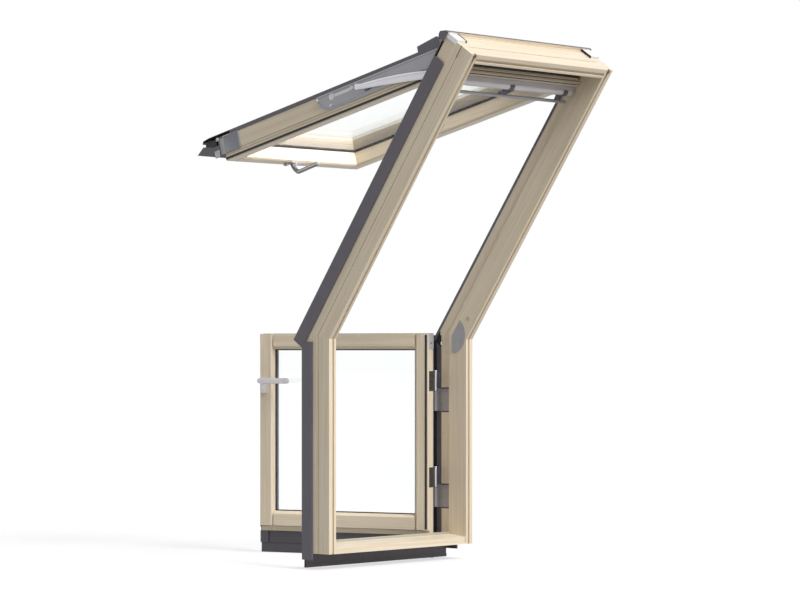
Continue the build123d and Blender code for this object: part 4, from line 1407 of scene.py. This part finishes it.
@dataclass
class Lever(SubAssembly):
    """Lever of the door handle: flared neck, flat rounded grip and a joint near its tip."""

    pivot: Point = (-0.4865, 0.1195, 0.864)
    length: float = 0.168
    half: float = 0.0152
    grip_span: Pair = (-0.052, -0.0385)
    neck: Pairs = (
        (0.0004, 0), (0.0004, 0.0138), (-0.004, 0.0138), (-0.0055, 0.0125), (-0.012, 0.0112),
        (-0.030, 0.0098), (-0.041, 0.0105), (-0.046, 0.0125), (-0.046, 0),
    )
    joint_inset: float = 0.012
    joint_width: float = 0.0012
    joint_proud: Pair = (0.0002, 0.0001)
    joint_wall: float = 0.0008
    place = LEAF
    body = "lever"

    def build(self) -> None:
        """Makes the lever."""
        neck = Workpiece("lever_grip").turned(self.neck, self.pivot, Y, 28)
        x, face, z = self.pivot
        low, high, end = z - self.half, z + self.half, x + self.length
        outline = (
            Arc((x, low), (x - self.half, z), (x, high), 12),
            Arc((end, high), (end + self.half, z), (end, low), 12),
        )
        back, front = (face + depth for depth in self.grip_span)
        grip = Workpiece("grip").section(outline, back, front, Y).bevel(0.0048, 4, 50)
        self.fit(
            neck.add(grip), "satin_nickel_handle", "satin_metal", "handle_lever", smooth=50
        )
        joint = end - self.joint_inset
        proud, rim = self.joint_proud
        self.dark(Workpiece("lever_joint").ring(
            (joint, back - proud, low - rim),
            (joint + self.joint_width, front + proud, high + rim), self.joint_wall, X,
        ))


# ---------------------------------------------------------------- fixed frame

REBATE_SEAL: Outline = (
    Arc((0.521, 0.1212), (0.5175, 0.1252), (0.513, 0.1212), 8), (0.513, 0.1205), (0.521, 0.1205),
)


@dataclass
class UprightTrim(SubAssembly):
    """Hinge screws and rings, strike plates and edge seals on the vertical frame."""

    rebate: float = 0.524
    # Darker pine slab that is painted shade of the notch at the sill's right end.
    sill_notch_shade: Box = ((0.4965, -0.0006, 0.008), (0.509, 0.0008, 0.046))
    packing: Box = ((0.5228, 0.1275, -0.006), (0.5244, 0.186, 0.126))
    frame_screw: Pairs = (
        (0.0004, 0.0052), (-0.0008, 0.0046), (-0.0014, 0.0026), (-0.0004, 0.002), (-0.0004, 0),
    )
    frame_screw_face: float = 0.521
    frame_screw_places: Pairs = (
        (0.146, 0.018), (0.146, 0.060), (0.146, 0.102), (0.182, 0.038), (0.182, 0.082),
    )
    ring: Pairs = ((0, 0.0086), (0, 0.0098), (0.003, 0.0098), (0.003, 0.0086))
    ring_rises: Pair = (0.0005, 0.0715)
    strip_end: Outline = (
        (0.2212, 1.050), (0.2512, 1.050), (0.2512, 1.113), (0.1955, 1.113), (0.1955, 1.056),
        (0.2212, 1.056),
    )
    strip_span: Pair = (0.5276, 0.5304)
    strikes: Pairs = ((0.300, 0.080), (0.620, 0.160), (0.960, 0.080))
    strike_plate: tuple[Pair, Pair] = ((-0.0004, 0.144), (0.0018, 0.166))
    strike_margin: float = 0.0062
    strike_lip: tuple[Pair, Pair] = ((0.0002, 0.150), (0.0008, 0.160))
    strike_lip_inset: float = 0.006
    seal_span: Pair = (0.066, 1.085)
    place = UPRIGHT

    def sill_shade_and_packings(self) -> None:
        """Darker pine slab at the right end of the sill, painted shade of the notch there, and dark
        packing behind the hinges.
        """
        joint = Workpiece("sill_notch_shade").block(*self.sill_notch_shade).bevel(0.0004, 1)
        # The slab takes the plugs' darker pine as painted shade.
        self.fit(joint, "pine_plug", "lacquered_pine")
        packings = Workpiece("hinge_packings").block(*self.packing).bevel(0.0006, 1)
        packings.at(*((0, 0, low) for low in HINGE_LOWS))
        self.fit(packings, "brown_rubber_and_groove_shade", "black_rubber")

    def hinge_plates(self) -> None:
        """Countersunk screws in the hinge plates and rings on the lower barrels."""
        screws = Workpiece("frame_hinge_screws").turned(self.frame_screw, (0, 0, 0), X, 16)
        screws.at(*((self.frame_screw_face, *place) for place in self.frame_screw_places))
        rings = Workpiece("ring").turned(self.ring, (0.514, 0.220, 0), Z, 28)
        rings.at(*((0, 0, rise) for rise in self.ring_rises))
        screws.add(rings).at(*((0, 0, low) for low in HINGE_LOWS))
        self.fit(screws, "zinc_plated_steel", "hinge_steel")

    def strip_top(self) -> None:
        """Upper end of the weather strip beside the hinges, up to the knee."""
        strip = Workpiece("hinge_strip_top").section(self.strip_end, *self.strip_span)
        self.dark(strip.bevel(0.0008, 1))

    def strike_plates(self) -> None:
        """Strike plates with their pockets on the left rebate."""
        parts = []
        for middle, length in self.strikes:
            half = length / 2
            low, high = self.strike_plate
            parts.append(Workpiece("strike_plates").ring(
                (low[0] - self.rebate, low[1], middle - half),
                (high[0] - self.rebate, high[1], middle + half), self.strike_margin, X,
            ).bevel(0.0005, 1))
            half -= self.strike_lip_inset
            low, high = self.strike_lip
            parts.append(Workpiece("lip").block(
                (low[0] - self.rebate, low[1], middle - half),
                (high[0] - self.rebate, high[1], middle + half),
            ).bevel(0.0002, 1))
        first, *others = parts
        self.fit(first.add(*others), "zinc_plated_steel", "hinge_steel")

    def seals(self) -> None:
        """Bulb seals in the rebates of the vertical frame."""
        seals = Workpiece("rebate_seals").section(REBATE_SEAL, *self.seal_span, Z).both_sides()
        self.fit(seals, "brown_rubber_and_groove_shade", "black_rubber", smooth=60)

    def build(self) -> None:
        """Makes the pieces of the vertical frame."""
        self.sill_shade_and_packings()
        self.hinge_plates()
        self.strip_top()
        self.strike_plates()
        self.seals()


@dataclass
class RoofTrim(SubAssembly):
    """Timber plugs, painted shade beside the caps of the head, and seals on the sloped frame."""

    head_joint: Box = ((0.5602, 0.0750, 1.604), (0.5616, 0.0785, 1.6685))
    plug: Pairs = (
        (0.002, 0.0135), (-0.0008, 0.0135), (-0.0018, 0.0122), (-0.0018, 0.0104),
        (-0.0012, 0.0098), (-0.0012, 0.0092), (-0.0018, 0.0086), (-0.0018, 0),
    )
    plug_place: Point = (0.509, 0.051, 0.098)
    groove_plug: Pairs = (
        (0.010, 0.0118), (-0.0004, 0.0118), (-0.0012, 0.0108), (-0.0012, 0.007),
        (0.0004, 0.006), (0.0004, 0),
    )
    groove_plug_place: Point = (0.530, 0.0, 1.655)
    # Black strip that is painted shade of a raised cap's inner wall.
    cap_wall_shade: Outline = (
        (0.114, 1.667), (0.114, 1.6755), (0.118, 1.6785), (0.1865, 1.6785), (0.1865, 1.667),
    )
    cap_wall_shade_span: Pair = (0.4868, 0.4968)
    jamb_seal_span: Pair = (0.060, 1.616)
    # The slope comes before the depth here.
    head_seal: Outline = (
        Arc((1.628, 0.1212), (1.6245, 0.1252), (1.620, 0.1212), 8),
        (1.620, 0.1205), (1.628, 0.1205),
    )
    head_seal_half: float = 0.508
    place = ROOF

    def head_joints(self) -> None:
        """Dark joints on the outer sides, where the jambs are housed into the head."""
        joint = Workpiece("head_joints").block(*self.head_joint).bevel(0.0004, 1)
        self.dark(joint.both_sides())

    def plugs(self) -> None:
        """Turned timber plugs over the fixing screws, in the reveals and in the groove."""
        plug = Workpiece("reveal_plugs").turned(self.plug, self.plug_place, X, 32).both_sides()
        self.fit(plug, "pine_plug", "lacquered_pine", smooth=40)
        end = Workpiece("groove_plugs").turned(self.groove_plug, self.groove_plug_place, Y, 24)
        self.fit(end.both_sides(), "dark_pine_plug", "lacquered_pine", smooth=40)

    def cap_wall_shades(self) -> None:
        """Black lipped strips beside the caps of the head, painted shade of the caps' raised inner
        walls.
        """
        # Painted shade: black strips where the caps' inner walls are in shade.
        strip = Workpiece("cap_wall_shades").section(self.cap_wall_shade, *self.cap_wall_shade_span)
        self.dark(strip.bevel(0.0008, 1).both_sides())

    def seals(self) -> None:
        """Bulb seals in the rebates of the sloped frame, in the jambs and the head."""
        jambs = Workpiece("roof_rebate_seals").section(REBATE_SEAL, *self.jamb_seal_span, Z)
        outline = tuple((depth, slope) for slope, depth in drawn(self.head_seal))
        head = Workpiece("head_seal").section(outline, -self.head_seal_half, self.head_seal_half)
        self.dark(jambs.both_sides().add(head), smooth=60)

    def build(self) -> None:
        """Makes the pieces of the sloped frame."""
        self.head_joints()
        self.plugs()
        self.cap_wall_shades()
        self.seals()


# ---------------------------------------------------------------- stage

@dataclass
class Studio:
    """Plain pale floor, soft studio light and the photograph's camera."""

    eye: Point = (-11.339, -10.1395, 1.051)
    heading: Point = (0.7479, 0.6639, 0.0)
    focal: float = 131.2
    sensor: float = 36.0
    rise: float = 0.0583
    sight: float = 100.0
    ambient: float = 0.42
    sun: float = 2.85
    sun_heading: Point = (0.06, 0.75, -0.66)
    sun_spread: float = 24.0
    floor_height: float = -0.083
    floor_width: float = 160.0

    def look(self, item: bpy.types.Object, heading: Point) -> None:
        """Points a camera or lamp along a heading and adds it to the scene.

        Args:
            item: The camera or lamp.
            heading: Way that it looks or shines.
        """
        item.rotation_mode = "QUATERNION"
        item.rotation_quaternion = Vector(heading).to_track_quat("-Z", "Y")
        bpy.context.scene.collection.objects.link(item)

    def camera(self) -> None:
        """Sets the camera level, with the photograph's lens and rise."""
        data = bpy.data.cameras.new("photo_camera")
        data.lens, data.sensor_width = self.focal, self.sensor
        data.shift_y, data.clip_end = self.rise, self.sight
        camera = bpy.data.objects.new("photo_camera", data)
        camera.location = self.eye
        self.look(camera, self.heading)
        bpy.context.scene.camera = camera

    def lamp(self) -> None:
        """Adds one wide soft sun from the room side, above the window."""
        data = bpy.data.lights.new("soft_sun", "SUN")
        data.energy, data.angle = self.sun, math.radians(self.sun_spread)
        self.look(bpy.data.objects.new("soft_sun", data), self.sun_heading)

    def world(self) -> None:
        """Lights softly from all round, and shows white to the camera and in reflections."""
        world = bpy.data.worlds.new("studio")
        world.use_nodes = True
        tree = world.node_tree
        tree.nodes.clear()
        level = add(tree, "ShaderNodeMapRange", {
            VALUE: background_rays(tree), TO_LOW: self.ambient, TO_HIGH: 1.0,
        })
        back = add(tree, "ShaderNodeBackground", {
            0: linear("#FFFFFF"), "Strength": level.outputs[0],
        })
        add(tree, "ShaderNodeOutputWorld", {0: back.outputs[0]})
        bpy.context.scene.world = world

    def floor(self) -> None:
        """Lays the floor under the apron, white to the camera where no shadow falls."""
        bpy.ops.object.select_all(action="DESELECT")
        bpy.ops.mesh.primitive_plane_add(size=self.floor_width, location=(0, 0, self.floor_height))
        floor = bpy.context.object
        floor.name = "floor"
        floor.data.materials.append(PaleFloor("pale_floor").build())

    def build(self) -> None:
        """Sets up the whole studio."""
        bpy.context.scene.view_settings.view_transform = "Standard"
        self.camera()
        self.world()
        self.lamp()
        self.floor()


def main() -> None:
    """Builds the studio and the window's pieces."""
    logging.basicConfig(level=logging.INFO, format="%(name)s: %(message)s")
    Studio().build()
    finishes = Finishes()
    dress_nodes(finishes)
    for kind in (SashTop, SashSides, SashFoot, LeafFurniture, Lever, UprightTrim, RoofTrim):
        kind(finishes).build()


if __name__ == "__main__":
    main()
